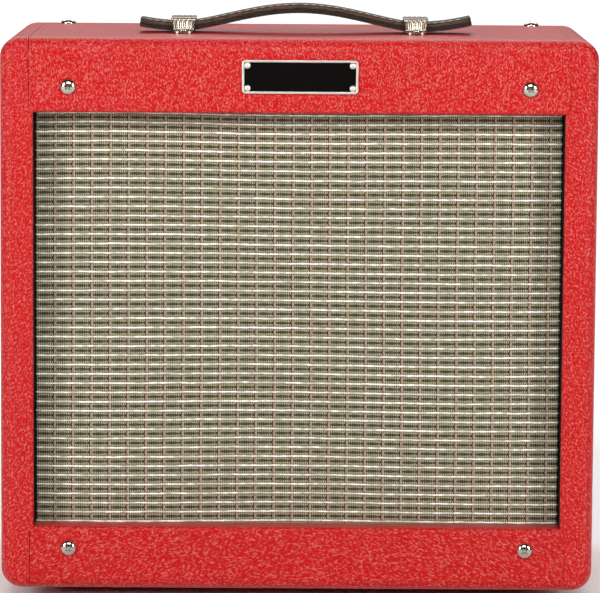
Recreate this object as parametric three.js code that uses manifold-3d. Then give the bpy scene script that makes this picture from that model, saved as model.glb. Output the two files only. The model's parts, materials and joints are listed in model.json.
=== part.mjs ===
// A small open-backed valve guitar combo: a covered wooden cabinet, a ten inch loudspeaker behind a
// cloth-covered baffle, and a steel chassis whose control panel lies in the sloping top rear edge.
// Units are millimetres. +Z is up, the front faces -Y, and the origin is on the floor under the
// middle of the overall box, screw heads included.
import * as THREE from "three";
import { mergeVertices } from "three/addons/utils/BufferGeometryUtils.js";
import Module from "manifold-3d";

const wasm = await Module();
wasm.setup();

// ---- Cabinet ----
const WIDTH = 400;
const DEPTH = 235;
const CENTRE_SHIFT = 1.3; // the front screw heads stand this much prouder than the rear ones, halved
const FRONT = -DEPTH / 2 + CENTRE_SHIFT;
const BACK = DEPTH / 2 + CENTRE_SHIFT;
const FOOT_HEIGHT = 8;
const TOP = 381;
const GAP = 0.3; // between pieces that touch

const CORNER_RADIUS = 14; // the four long edges that run front to back
const EDGE_RADIUS = 9; // the front and rear rims
const SIDE_THICKNESS = 19.3;
const BOARD = 18; // top and bottom boards
const FRONT_BOARD = 18.7; // header and lower rail
const INNER_X = WIDTH / 2 - SIDE_THICKNESS;
const BOARD_X = INNER_X - GAP; // half length of the boards between the sides
const OPENING_X = 177.5; // half width of the grille opening
const OPENING_Z = [51, 331];
const SLOPE_START = BACK - 51.5; // rear edge of the top board
const SLOPE_DROP = 46; // fall of the side boards from there to the back
const SLOPE = Math.atan(SLOPE_DROP / (BACK - SLOPE_START));
const FLOOR = [FOOT_HEIGHT, FOOT_HEIGHT + BOARD];
const FOOT = { x: 156, ys: [-53, 80], radius: 17, sole: 14, neck: 5, neckTop: 16 };

// ---- Baffle and its covering ----
const CLOTH = { x: 175.3, thickness: 0.8, front: FRONT + FRONT_BOARD + GAP };
const BAFFLE = { x: 175, zs: [30, 358], thickness: 12.7, hole: 114 };
BAFFLE.front = CLOTH.front + CLOTH.thickness + GAP;
BAFFLE.back = BAFFLE.front + BAFFLE.thickness;
const FRONT_SCREW = { x: 154, zs: [36.4, 348.2], head: 5, dome: 3.2, shank: 2, length: 29 };
const NAMEPLATE = { x: [-38.3, 39.3], z: [344.4, 367], thickness: 2.2, rivet: 1.9 };

// ---- Back panels ----
const PANEL_BOARD = { x: 180, y: [BACK - 7.5, BACK - 2], lowerTop: 128, upper: [268, 333] };
const CLEAT = { width: 15, depth: 15, lower: [45, 120], upper: [270, 298.5] };
const BACK_SCREW = { x: 173, zs: [83, 285], head: 4.4, dome: 2.6, shank: 1.8, length: 15 };

// ---- Loudspeaker, with depths measured back from its mounting plane ----
const SPEAKER_Z = 191;
const SPEAKER_SIDES = 30;
const SPEAKER_FRONT = BAFFLE.back + GAP;
const BOLT = { circle: 122, angles: [45, 135, 225, 315], head: 5, nut: 4.8, shank: 2.2 };
const FRAME_WINDOWS = 6;
const TERMINAL = { x: [-97, -80], depth: [22, 31], z: [181, 201] };

// ---- Chassis ----
const SHEET = 1.5;
const CHASSIS_X = 179.8;
const TRAY_Z = 300;
const TRAY_FRONT = 46.5;
const TRAY_LIP = 328; // top of the low front wall
const PANEL_RECESS = 3; // of the control panel under the slope of the side boards
const PANEL_Y = [SLOPE_START + 2.4, PANEL_BOARD.y[0] - GAP];
const CHASSIS_SCREW = { x: 164, y: 58.5, head: 5, dome: 3.2, shank: 2, length: 22 };
const CONTROLS = { jack: -118, volume: -45, tone: 20, lamp: 80, toggle: 122 };
const TRAY_Y = 77; // middle of the things that hang from the tray
const UNDER_TRAY = { output: -130, preamp: -62, power: -8, inlet: 52, mains: 118 };
const BOARD_PLATE = { x: [-84, 32], y: [54, 101], z: [314, 315.6] };
const LEAD_HOLE = [-93, 63];

// ---- Handle ----
const HANDLE_Y = -38;
const STRAP = { width: 28, thickness: 6, rest: 385.2, rise: 12.5, bow: 1.45 };
const BRACKET = { x: 79, width: 17, foot: 14, reach: 28, leg: [15, 17.2], top: [389.2, 391.4] };
const BRACKET_SCREW = { reach: 22.4, head: 3.6, dome: 2, shank: 1.6, length: 14 };
const GRIP_END = 67.75;
const TAIL_ENDS = [-108.5, 116.5];
const TAIL_LIFT = 0.00325; // the tails curve up away from the brackets

// ---- Materials ----
const finish = (color, roughness, metalness = 0) =>
  new THREE.MeshStandardMaterial({ color, roughness, metalness });
const vinyl = finish(0xd21f22, 0.55);
const blackWood = finish(0x1b1a19, 0.8);
const grilleCloth = finish(0x9a9478, 0.9);
const strapLeather = finish(0x2a2523, 0.7);
const nickel = finish(0xc9c3b6, 0.18, 1);
const chrome = finish(0xd0d2d4, 0.12, 1);
const blackPlastic = finish(0x151515, 0.4);
const rubber = finish(0x1a1a1a, 0.9);
const steel = finish(0x9c9ea0, 0.35, 1);
const blackSteel = finish(0x202122, 0.45, 0.6);
const paper = finish(0x26221f, 0.9);
const glass = finish(0xe6eef0, 0.05);
const redLens = finish(0xb00d12, 0.1);
const circuit = finish(0x3c5f38, 0.6);
const cable = finish(0x121212, 0.6);

const amplifier = new THREE.Group();

// ---- Shape helpers ----
function solid(shape) {
  if (!shape.isBufferGeometry) return shape;
  const bare = shape.index ? shape.toNonIndexed() : shape.clone();
  for (const name of Object.keys(bare.attributes)) {
    if (name !== "position") bare.deleteAttribute(name);
  }
  const merged = mergeVertices(bare, 1e-4);
  return new wasm.Manifold(
    new wasm.Mesh({
      numProp: 3,
      vertProperties: merged.attributes.position.array,
      triVerts: new Uint32Array(merged.index.array),
    }),
  );
}

function geometryOf(manifold) {
  const mesh = manifold.getMesh();
  const geometry = new THREE.BufferGeometry();
  geometry.setAttribute("position", new THREE.BufferAttribute(mesh.vertProperties, 3));
  geometry.setIndex(new THREE.BufferAttribute(mesh.triVerts, 1));
  return geometry;
}

const join = (...shapes) => shapes.map(solid).reduce((whole, next) => whole.add(next));
const cut = (shape, ...tools) => tools.map(solid).reduce((rest, tool) => rest.subtract(tool), solid(shape));
const common = (a, b) => solid(a).intersect(solid(b));

function piece(name, shape, material) {
  const geometry = shape.isBufferGeometry ? shape : geometryOf(shape);
  const mesh = new THREE.Mesh(geometry, material);
  mesh.name = name;
  amplifier.add(mesh);
}

function box([x0, x1], [y0, y1], [z0, z1]) {
  const geometry = new THREE.BoxGeometry(x1 - x0, y1 - y0, z1 - z0);
  return geometry.translate((x0 + x1) / 2, (y0 + y1) / 2, (z0 + z1) / 2);
}

// A round bar along Z. Six sides make a hexagonal nut.
function rod(radius, [z0, z1], [x, y] = [0, 0], sides = 16, endRadius = radius) {
  const geometry = new THREE.CylinderGeometry(endRadius, radius, z1 - z0, sides);
  return geometry.rotateX(Math.PI / 2).translate(x, y, (z0 + z1) / 2);
}

// Turns a profile of [radius, height] points about Z. It either starts and ends on the axis or is
// closed here into a ring.
function turned(points, sides = 20) {
  const area = points.reduce((sum, [r, z], i) => {
    const [nextR, nextZ] = points[(i + 1) % points.length];
    return sum + r * nextZ - nextR * z;
  }, 0);
  const ordered = area > 0 ? [...points] : [...points].reverse();
  if (ordered.every(([r]) => r > 0)) ordered.push(ordered[0]);
  const profile = ordered.map(([r, z]) => new THREE.Vector2(r, z));
  return new THREE.LatheGeometry(profile, sides).rotateX(Math.PI / 2);
}

// A flat outline of [y, z] points carried along X.
function alongX(points, [x0, x1]) {
  const shape = new THREE.Shape(points.map(([y, z]) => new THREE.Vector2(y, z)));
  const geometry = new THREE.ExtrudeGeometry(shape, { depth: x1 - x0, bevelEnabled: false });
  const axes = new THREE.Matrix4().makeBasis(
    new THREE.Vector3(0, 1, 0),
    new THREE.Vector3(0, 0, 1),
    new THREE.Vector3(1, 0, 0),
  );
  return geometry.applyMatrix4(axes).translate(x0, 0, 0);
}

// A flat outline of [x, z] points carried along Y.
function alongY(points, [y0, y1]) {
  const shape = new THREE.Shape(points.map(([x, z]) => new THREE.Vector2(x, -z)));
  const geometry = new THREE.ExtrudeGeometry(shape, { depth: y1 - y0, bevelEnabled: false });
  return geometry.rotateX(-Math.PI / 2).translate(0, y0, 0);
}

// Placing shapes that are built with +Z pointing outwards.
const facingFront = (shape, x, y, z) => solid(shape).rotate([90, 0, 0]).translate([x, y, z]);
const facingBack = (shape, x, y, z) => solid(shape).rotate([-90, 0, 0]).translate([x, y, z]);
const facingDown = (shape, x, y, z) => solid(shape).rotate([180, 0, 0]).translate([x, y, z]);

// An octagonal hole along Z that clears a round shank.
const HOLE_SIDES = 8;
const drill = (shank, z, centre = [0, 0]) =>
  rod((shank + GAP) / Math.cos(Math.PI / HOLE_SIDES), z, centre, HOLE_SIDES);

const SCREW_SIDES = 12;

// A cross-headed screw with its head seated at z = 0 and its shank below.
function screw({ head, dome, shank, length }) {
  const profile = [
    [0, -length],
    [shank, -length],
    [shank, 0],
    [head, 0],
    [head * 0.86, dome * 0.6],
    [0, dome],
  ];
  const arm = [-head * 0.45, head * 0.45];
  const slot = [-head * 0.12, head * 0.12];
  const depth = [dome * 0.45, dome + 1];
  return cut(turned(profile, SCREW_SIDES), box(arm, slot, depth), box(slot, arm, depth));
}


// ---- Cabinet boards, all cut from one round-edged block ----
const radiusPoint = (x, z, angle) => [
  x + CORNER_RADIUS * Math.cos(angle),
  z + CORNER_RADIUS * Math.sin(angle),
];

function roundedBlock() {
  const cornerSteps = 4;
  const centreX = WIDTH / 2 - CORNER_RADIUS;
  const centreZ = [FOOT_HEIGHT + CORNER_RADIUS, TOP - CORNER_RADIUS];
  const corners = [
    [centreX, centreZ[1]],
    [-centreX, centreZ[1]],
    [-centreX, centreZ[0]],
    [centreX, centreZ[0]],
  ];
  const outline = corners.flatMap(([x, z], quarter) =>
    Array.from({ length: cornerSteps + 1 }, (_, step) =>
      radiusPoint(x, z, (quarter + step / cornerSteps) * (Math.PI / 2)),
    ),
  );
  const shape = new THREE.Shape(outline.map(([x, z]) => new THREE.Vector2(x, -z)));
  const geometry = new THREE.ExtrudeGeometry(shape, {
    depth: DEPTH - 2 * EDGE_RADIUS,
    bevelThickness: EDGE_RADIUS,
    bevelSize: EDGE_RADIUS,
    bevelOffset: -EDGE_RADIUS,
    bevelSegments: 3,
  });
  return solid(geometry.rotateX(-Math.PI / 2).translate(0, FRONT + EDGE_RADIUS, 0));
}

const block = roundedBlock();
const slopeAt = (y) => TOP - (y - SLOPE_START) * Math.tan(SLOPE);
const aboveSlope = alongX(
  [
    [SLOPE_START, TOP],
    [BACK + 5, slopeAt(BACK + 5)],
    [BACK + 5, TOP + 5],
    [SLOPE_START, TOP + 5],
  ],
  [-WIDTH, WIDTH],
);
const frontBoardY = [FRONT - 1, FRONT + FRONT_BOARD];
const mirrored = (range, side) => (side > 0 ? range : [-range[1], -range[0]]);

function sideBoard(side) {
  const wall = box(mirrored([INNER_X, WIDTH / 2 + 1], side), [FRONT - 1, BACK + 1], [0, TOP + 1]);
  const lipX = mirrored([OPENING_X, WIDTH / 2 - 1], side);
  const lip = box(lipX, frontBoardY, [OPENING_Z[0] + GAP, OPENING_Z[1] - GAP]);
  const cleatX = mirrored([INNER_X - CLEAT.width, INNER_X + 1], side);
  const cleatY = [PANEL_BOARD.y[0] - GAP - CLEAT.depth, PANEL_BOARD.y[0] - GAP];
  const cleats = [CLEAT.lower, CLEAT.upper].map((z) => box(cleatX, cleatY, z));
  const pilotHoles = BACK_SCREW.zs.map((z) => {
    const hole = drill(BACK_SCREW.shank, [-BACK_SCREW.length - 1, 0]);
    return facingBack(hole, side * BACK_SCREW.x, PANEL_BOARD.y[1], z);
  });
  return cut(join(common(block, join(wall, lip)), ...cleats), aboveSlope, ...pilotHoles);
}

piece("cabinet_left_side", sideBoard(-1), vinyl);
piece("cabinet_right_side", sideBoard(1), vinyl);

const boardX = [-BOARD_X, BOARD_X];
const topHoles = [-1, 1].flatMap((side) => [
  drill(CHASSIS_SCREW.shank, [300, 400], [side * CHASSIS_SCREW.x, CHASSIS_SCREW.y]),
  ...[-1, 1].map((end) => {
    const centre = [side * BRACKET.x, HANDLE_Y + end * BRACKET_SCREW.reach];
    return drill(BRACKET_SCREW.shank, [TOP - 16, 400], centre);
  }),
]);
const topBlank = common(block, box(boardX, [FRONT - 1, SLOPE_START], [TOP - BOARD, TOP + 1]));
piece("cabinet_top", cut(topBlank, ...topHoles), vinyl);

const footHoles = [-1, 1].flatMap((side) =>
  FOOT.ys.map((y) => drill(FOOT.neck, [0, FOOT.neckTop + GAP], [side * FOOT.x, y])),
);
const floorY = [FRONT + FRONT_BOARD + GAP, BACK + 1];
const floorBlank = common(block, box(boardX, floorY, [0, FLOOR[1]]));
piece("cabinet_bottom", cut(floorBlank, ...footHoles), vinyl);

const frontScrewHoles = [-1, 1].flatMap((side) =>
  FRONT_SCREW.zs.map((z) => {
    const hole = drill(FRONT_SCREW.shank, [-FRONT_SCREW.length - 1, 5]);
    return facingFront(hole, side * FRONT_SCREW.x, FRONT, z);
  }),
);
const headerZ = [OPENING_Z[1], TOP - BOARD - GAP];
piece("front_header", cut(common(block, box(boardX, frontBoardY, headerZ)), ...frontScrewHoles), vinyl);
const railZ = [0, OPENING_Z[0]];
piece("front_lower_rail", cut(common(block, box(boardX, frontBoardY, railZ)), ...frontScrewHoles), vinyl);

FOOT.ys.forEach((y, row) =>
  [-1, 1].forEach((side, column) => {
    const profile = [
      [0, 0],
      [FOOT.sole, 0],
      [FOOT.radius, 1.5],
      [FOOT.radius, FOOT_HEIGHT - GAP],
      [FOOT.neck, FOOT_HEIGHT - GAP],
      [FOOT.neck, FOOT.neckTop],
      [0, FOOT.neckTop],
    ];
    const foot = turned(profile, 16).translate(side * FOOT.x, y, 0);
    piece(`foot_${row * 2 + column + 1}`, foot, rubber);
  }),
);

// ---- Baffle, cloth and front fittings ----
const boltCentres = BOLT.angles.map((degrees) => {
  const angle = THREE.MathUtils.degToRad(degrees);
  return [BOLT.circle * Math.cos(angle), BOLT.circle * Math.sin(angle)];
});
const speakerSpace = (shape) => facingBack(shape, 0, SPEAKER_FRONT, SPEAKER_Z);
const baffleHole = speakerSpace(rod(BAFFLE.hole, [-20, 0], [0, 0], SPEAKER_SIDES));
const boltHeadDepth = 2.2;
const boltTools = boltCentres.flatMap((centre) => [
  speakerSpace(drill(BOLT.shank, [-20, 5], centre)),
  speakerSpace(drill(BOLT.head, [-20, -GAP - BAFFLE.thickness + boltHeadDepth], centre)),
]);
const baffleBlank = box([-BAFFLE.x, BAFFLE.x], [BAFFLE.front, BAFFLE.back], BAFFLE.zs);
piece("baffle_board", cut(baffleBlank, baffleHole, ...boltTools, ...frontScrewHoles), blackWood);

const clothY = [CLOTH.front, CLOTH.front + CLOTH.thickness];
const clothBlank = box([-CLOTH.x, CLOTH.x], clothY, BAFFLE.zs);
piece("grille_cloth", cut(clothBlank, ...frontScrewHoles), grilleCloth);

[-1, 1].forEach((side, column) =>
  FRONT_SCREW.zs.forEach((z, row) => {
    const placed = facingFront(screw(FRONT_SCREW), side * FRONT_SCREW.x, FRONT - GAP, z);
    piece(`front_screw_${row * 2 + column + 1}`, placed, nickel);
  }),
);

function nameplate() {
  const [x0, x1] = NAMEPLATE.x;
  const [z0, z1] = NAMEPLATE.z;
  const y = [FRONT - GAP - NAMEPLATE.thickness, FRONT - GAP];
  const chamfer = 3;
  const rim = 1.6;
  const corner = 6;
  const outline = [
    [x0 + chamfer, z0],
    [x1 - chamfer, z0],
    [x1, z0 + chamfer],
    [x1, z1 - chamfer],
    [x1 - chamfer, z1],
    [x0 + chamfer, z1],
    [x0, z1 - chamfer],
    [x0, z0 + chamfer],
  ];
  const field = box([x0 + rim, x1 - rim], [y[0] - 1, y[0] + 0.6], [z0 + rim, z1 - rim]);
  const rivets = [x0 + corner, x1 - corner].flatMap((x) =>
    [z0 + corner, z1 - corner].map((z) =>
      facingFront(rod(NAMEPLATE.rivet, [-1.9, 0.6], [0, 0], 8, 1.2), x, y[0], z),
    ),
  );
  return join(cut(alongY(outline, y), field), ...rivets);
}
piece("nameplate", nameplate(), nickel);

// ---- Back panels ----
function backPanel(z) {
  const holes = [-1, 1].flatMap((side) =>
    BACK_SCREW.zs.map((height) => {
      const hole = drill(BACK_SCREW.shank, [-10, 5]);
      return facingBack(hole, side * BACK_SCREW.x, PANEL_BOARD.y[1], height);
    }),
  );
  return cut(box([-PANEL_BOARD.x, PANEL_BOARD.x], PANEL_BOARD.y, z), ...holes);
}
piece("lower_back_panel", backPanel([FLOOR[1] + GAP, PANEL_BOARD.lowerTop]), vinyl);
piece("upper_back_panel", backPanel(PANEL_BOARD.upper), vinyl);

[-1, 1].forEach((side, column) =>
  BACK_SCREW.zs.forEach((z, row) => {
    const placed = facingBack(screw(BACK_SCREW), side * BACK_SCREW.x, PANEL_BOARD.y[1] + GAP, z);
    piece(`back_screw_${row * 2 + column + 1}`, placed, nickel);
  }),
);

// ---- Loudspeaker ----
const frameProfile = [
  [128.5, 0],
  [115, 0],
  [115, 3],
  [104, 3],
  [104, 5.5],
  [56, 43.5],
  [46.5, 45.5],
  [46.5, 58.5],
  [24, 58.5],
  [24, 60],
  [48, 60],
  [48, 47],
  [57, 44.9],
  [105.3, 6.6],
  [116.5, 4.5],
  [116.5, 1.5],
  [128.5, 1.5],
];
function speakerFrame() {
  const windows = Array.from({ length: FRAME_WINDOWS }, (_, i) =>
    solid(box([66, 100], [-21, 21], [10, 36])).rotate([0, 0, (i * 360) / FRAME_WINDOWS + 30]),
  );
  const boltHoles = boltCentres.map((centre) => drill(BOLT.shank, [-5, 5], centre));
  const [d0, d1] = TERMINAL.depth;
  const up = SPEAKER_Z;
  const terminal = box(TERMINAL.x, [up - TERMINAL.z[1], up - TERMINAL.z[0]], [d0, d1]);
  return join(cut(turned(frameProfile, SPEAKER_SIDES), ...windows, ...boltHoles), terminal);
}
piece("speaker_frame", speakerSpace(speakerFrame()), blackSteel);

const magnetProfile = [
  [0, 61.5],
  [17.7, 61.5],
  [17.7, 82.3],
  [24, 82.3],
  [24, 66.3],
  [21, 66.3],
  [21, 60.3],
  [44, 60.3],
  [44, 66.3],
  [50, 66.3],
  [50, 82.3],
  [44, 82.3],
  [44, 88.3],
  [0, 88.3],
];
piece("speaker_magnet", speakerSpace(turned(magnetProfile, 24)), steel);

const coneProfile = [
  [0, 29],
  [15, 31.5],
  [27, 37.5],
  [101, 2.6],
  [101, 3.4],
  [19.5, 43],
  [19.5, 74],
  [18.7, 74],
  [18.7, 36],
  [0, 29.8],
];
piece("speaker_cone", speakerSpace(turned(coneProfile, SPEAKER_SIDES)), paper);

const surroundProfile = [
  [101.4, 2.7],
  [101.4, 1.8],
  [107, 0.4],
  [111.5, 1.8],
  [114.2, 1.8],
  [114.2, 2.7],
  [111, 2.7],
  [107, 1.3],
];
piece("speaker_surround", speakerSpace(turned(surroundProfile, SPEAKER_SIDES)), paper);

const spiderRidges = 3;
const spiderRadii = [19.9, 46.1];
const spiderStep = (spiderRadii[1] - spiderRadii[0]) / (2 * spiderRidges);
const spiderFront = Array.from({ length: 2 * spiderRidges + 1 }, (_, i) => [
  spiderRadii[0] + i * spiderStep,
  50 + (i % 2) * 1.8,
]);
const spiderBack = [...spiderFront].reverse().map(([r, depth]) => [r, depth + 0.8]);
piece("speaker_spider", speakerSpace(turned([...spiderFront, ...spiderBack], 24)), paper);

boltCentres.forEach((centre, i) => {
  const headTop = -GAP - BAFFLE.thickness + boltHeadDepth - GAP;
  const bolt = join(
    rod(BOLT.head, [headTop - 1.4, headTop], centre, 10),
    rod(BOLT.shank, [headTop - 0.5, 8], centre, 8),
    rod(BOLT.nut, [SHEET + GAP, SHEET + GAP + 4], centre, 6),
  );
  piece(`speaker_bolt_${i + 1}`, speakerSpace(bolt), steel);
});

// ---- Chassis: one folded sheet ----
// The outline of a bent sheet, from the line of its outer face.
function folded(line, thickness) {
  const points = line.map(([y, z]) => new THREE.Vector2(y, z));
  const normals = points.slice(1).map((p, i) => {
    const along = p.clone().sub(points[i]).normalize();
    return new THREE.Vector2(along.y, -along.x);
  });
  const inner = points.map((p, i) => {
    const before = normals[Math.max(i - 1, 0)];
    const after = normals[Math.min(i, normals.length - 1)];
    const mitre = before.clone().add(after).normalize();
    return p.clone().addScaledVector(mitre, thickness / mitre.dot(before));
  });
  return [...points, ...inner.reverse()].map((p) => [p.x, p.y]);
}

const panelAt = (y) => slopeAt(y) - PANEL_RECESS / Math.cos(SLOPE);
const panelMiddleY = (PANEL_Y[0] + PANEL_Y[1]) / 2;
const onPanel = (shape, x) =>
  solid(shape)
    .rotate([THREE.MathUtils.radToDeg(-SLOPE), 0, 0])
    .translate([x, panelMiddleY, panelAt(panelMiddleY)]);

const UNDER_TOP = TOP - BOARD - GAP;
const chassisLine = [
  [TRAY_FRONT + 2, UNDER_TOP],
  [PANEL_Y[0] - SHEET, UNDER_TOP],
  [PANEL_Y[0] - SHEET, panelAt(PANEL_Y[0] - SHEET)],
  [PANEL_Y[1], panelAt(PANEL_Y[1])],
  [PANEL_Y[1], TRAY_Z],
  [TRAY_FRONT, TRAY_Z],
  [TRAY_FRONT, TRAY_LIP],
];
const hole = (radius, x) => onPanel(rod(radius, [-5, 5]), x);
const trayHole = (radius, centre) => rod(radius, [TRAY_Z - 2, TRAY_Z + 4], centre, 16);
const inletHoleX = [UNDER_TRAY.inlet - 14.5, UNDER_TRAY.inlet + 14.5];
const chassis = cut(
  alongX(folded(chassisLine, SHEET), [-CHASSIS_X, CHASSIS_X]),
  hole(4.8, CONTROLS.volume),
  hole(4.8, CONTROLS.tone),
  hole(5, CONTROLS.jack),
  hole(6.6, CONTROLS.lamp),
  hole(6.2, CONTROLS.toggle),
  trayHole(16.5, [UNDER_TRAY.power, TRAY_Y]),
  trayHole(11.8, [UNDER_TRAY.preamp, TRAY_Y]),
  trayHole(4, LEAD_HOLE),
  box(inletHoleX, [TRAY_Y - 11, TRAY_Y + 11], [TRAY_Z - 2, TRAY_Z + 4]),
  ...topHoles,
);
piece("chassis", chassis, chrome);

[-1, 1].forEach((side) => {
  const placed = solid(screw(CHASSIS_SCREW)).translate([
    side * CHASSIS_SCREW.x,
    CHASSIS_SCREW.y,
    TOP + GAP,
  ]);
  piece(side < 0 ? "chassis_screw_left" : "chassis_screw_right", placed, nickel);
});

// ---- Controls, built with z = 0 at the panel's outer face ----
const UNDER_PANEL = -SHEET - GAP;
const potentiometer = join(
  rod(12, [UNDER_PANEL - 10, UNDER_PANEL], [0, 0], 16),
  rod(4.4, [UNDER_PANEL - 1, 2.8], [0, 0], 12),
  rod(6.4, [GAP, 2.5], [0, 0], 6),
  rod(3, [2, 14], [0, 0], 12),
);
const knobProfile = [
  [0, 3.2],
  [11, 3.2],
  [11, 5],
  [9, 6.2],
  [8.2, 17.4],
  [7.2, 18.4],
  [0, 18.4],
];
const knob = cut(
  turned(knobProfile, 18),
  rod(3.3, [3, 14.6], [0, 0], 12),
  box([-0.6, 0.6], [2, 12], [17.6, 20]),
);
piece("volume_pot", onPanel(potentiometer, CONTROLS.volume), steel);
piece("volume_knob", onPanel(knob, CONTROLS.volume), blackPlastic);
piece("tone_pot", onPanel(potentiometer, CONTROLS.tone), steel);
piece("tone_knob", onPanel(knob, CONTROLS.tone), blackPlastic);

const TOGGLE = { pivot: 1, ball: 2.8, tilt: 12, tip: 20 };
const toggleBody = cut(
  join(
    box([-7, 7], [-13, 13], [UNDER_PANEL - 16, UNDER_PANEL]),
    rod(5.8, [UNDER_PANEL - 1, 8], [0, 0], 16),
    rod(8.6, [GAP, 2.8], [0, 0], 6),
  ),
  rod(3.6, [TOGGLE.pivot - 5, 8.5], [0, 0], 16, 5),
);
piece("power_switch_body", onPanel(toggleBody, CONTROLS.toggle), steel);
const leverProfile = [
  [0, -TOGGLE.ball],
  [TOGGLE.ball * 0.8, -TOGGLE.ball * 0.6],
  [TOGGLE.ball, 0],
  [TOGGLE.ball * 0.6, TOGGLE.ball * 0.8],
  [1.5, 4],
  [2.7, TOGGLE.tip - 3],
  [2, TOGGLE.tip - 0.8],
  [0, TOGGLE.tip],
];
const lever = solid(turned(leverProfile, 10)).rotate([TOGGLE.tilt, 0, 0]).translate([0, 0, TOGGLE.pivot]);
piece("power_switch_lever", onPanel(lever, CONTROLS.toggle), chrome);

const bezelProfile = [
  [5.7, 3],
  [5.7, -1],
  [4.6, -1],
  [4.6, -16],
  [6.2, -16],
  [6.2, GAP],
  [8.6, GAP],
  [8.6, 1.6],
  [7, 3],
];
piece("pilot_lamp_bezel", onPanel(turned(bezelProfile, 16), CONTROLS.lamp), chrome);
const lensProfile = [
  [0, -0.7],
  [5.4, -0.7],
  [5.4, 3.4],
  [3.9, 6.2],
  [0, 7.4],
];
piece("pilot_lamp_lens", onPanel(turned(lensProfile, 12), CONTROLS.lamp), redLens);

const jackBore = 3.3;
const jack = cut(
  join(
    box([-9, 9], [-9, 9], [UNDER_PANEL - 22, UNDER_PANEL]),
    rod(4.6, [UNDER_PANEL - 1, 3.2], [0, 0], 16),
    rod(7.4, [GAP, 2.6], [0, 0], 6),
  ),
  rod(jackBore, [UNDER_PANEL - 20, 5], [0, 0], 16),
);
piece("input_jack", onPanel(jack, CONTROLS.jack), blackPlastic);

// ---- Circuit board with its two valve sockets, and the valves that hang from them ----
const standoffs = [BOARD_PLATE.x[0] + 5, BOARD_PLATE.x[1] - 5].flatMap((x) =>
  [BOARD_PLATE.y[0] + 5, BOARD_PLATE.y[1] - 5].map((y) =>
    rod(2.5, [TRAY_Z + SHEET + GAP, BOARD_PLATE.z[0] + 0.5], [x, y], 6),
  ),
);
const capacitors = [-66, 12].map((x) =>
  rod(6.5, [BOARD_PLATE.z[1] - 0.5, BOARD_PLATE.z[1] + 11], [x, BOARD_PLATE.y[0] + 10], 10),
);
const socketZ = [TRAY_Z - 3, BOARD_PLATE.z[0] + 0.5];
const circuitBoard = join(
  box(BOARD_PLATE.x, BOARD_PLATE.y, BOARD_PLATE.z),
  rod(15.8, socketZ, [UNDER_TRAY.power, TRAY_Y], 16),
  rod(11.2, socketZ, [UNDER_TRAY.preamp, TRAY_Y], 16),
  ...standoffs,
  ...capacitors,
);
piece("circuit_board", circuitBoard, circuit);

const hanging = (profile, x) => facingDown(turned(profile, 16), x, TRAY_Y, socketZ[0] - GAP);
const powerValve = [
  [0, 0],
  [16, 0],
  [16, 13],
  [12.5, 15],
  [14.8, 22],
  [14.8, 62],
  [10.5, 74],
  [3.5, 80],
  [0, 81],
];
piece("power_valve", hanging(powerValve, UNDER_TRAY.power), glass);
const preampValve = [
  [0, 0],
  [10.8, 0],
  [10.8, 40],
  [7.4, 46],
  [2.4, 48],
  [1.2, 52],
  [0, 52],
];
piece("preamp_valve", hanging(preampValve, UNDER_TRAY.preamp), glass);

// ---- Transformers, mains inlet and speaker lead, all under the tray ----
function transformer({ core, bell, flange, height }) {
  return join(
    box([-core[0], core[0]], [-core[1], core[1]], [GAP, height]),
    box([-bell[0], bell[0]], [-bell[1], bell[1]], [5, height - 5]),
    box([-flange[0], flange[0]], [-flange[1], flange[1]], [GAP, 2.3]),
  );
}
const mains = transformer({ core: [33, 15], bell: [24, 26], flange: [33, 24], height: 56 });
piece("power_transformer", facingDown(mains, UNDER_TRAY.mains, TRAY_Y, TRAY_Z), blackSteel);
const output = transformer({ core: [21, 10], bell: [13, 18], flange: [28, 8], height: 36 });
piece("output_transformer", facingDown(output, UNDER_TRAY.output, TRAY_Y, TRAY_Z), blackSteel);

const pins = [
  [0, 3],
  [-7, -2],
  [7, -2],
].map(([x, y]) => box([x - 1, x + 1], [y - 2, y + 2], [-14, -2]));
const inlet = join(
  cut(
    join(
      box([-24, 24], [-13.5, 13.5], [GAP, 3]),
      box([-14, 14], [-10.5, 10.5], [-18, 1]),
    ),
    box([-12, 12], [-8, 8], [-13.5, 4]),
  ),
  ...pins,
);
piece("mains_inlet", facingDown(inlet, UNDER_TRAY.inlet, TRAY_Y, TRAY_Z), blackPlastic);

const leadRadius = 2.4;
const leadStart = [LEAD_HOLE[0], LEAD_HOLE[1], TRAY_Z + 8];
const leadEnd = [TERMINAL.x[0] - GAP, SPEAKER_FRONT + 26.5, SPEAKER_Z];
const leadRoute = new THREE.CatmullRomCurve3(
  [
    leadStart,
    [LEAD_HOLE[0], LEAD_HOLE[1], 284],
    [-99, 44, 252],
    [-114, -2, 216],
    [-119, -42, 197],
    [-112, SPEAKER_FRONT + 27, 191.5],
    leadEnd,
  ].map((point) => new THREE.Vector3(...point)),
);
const leadSection = new THREE.Shape().absarc(0, 0, leadRadius, 0, 2 * Math.PI);
const lead = new THREE.ExtrudeGeometry(leadSection, {
  steps: 18,
  curveSegments: 3,
  bevelEnabled: false,
  extrudePath: leadRoute,
});
piece("speaker_lead", lead, cable);

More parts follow.
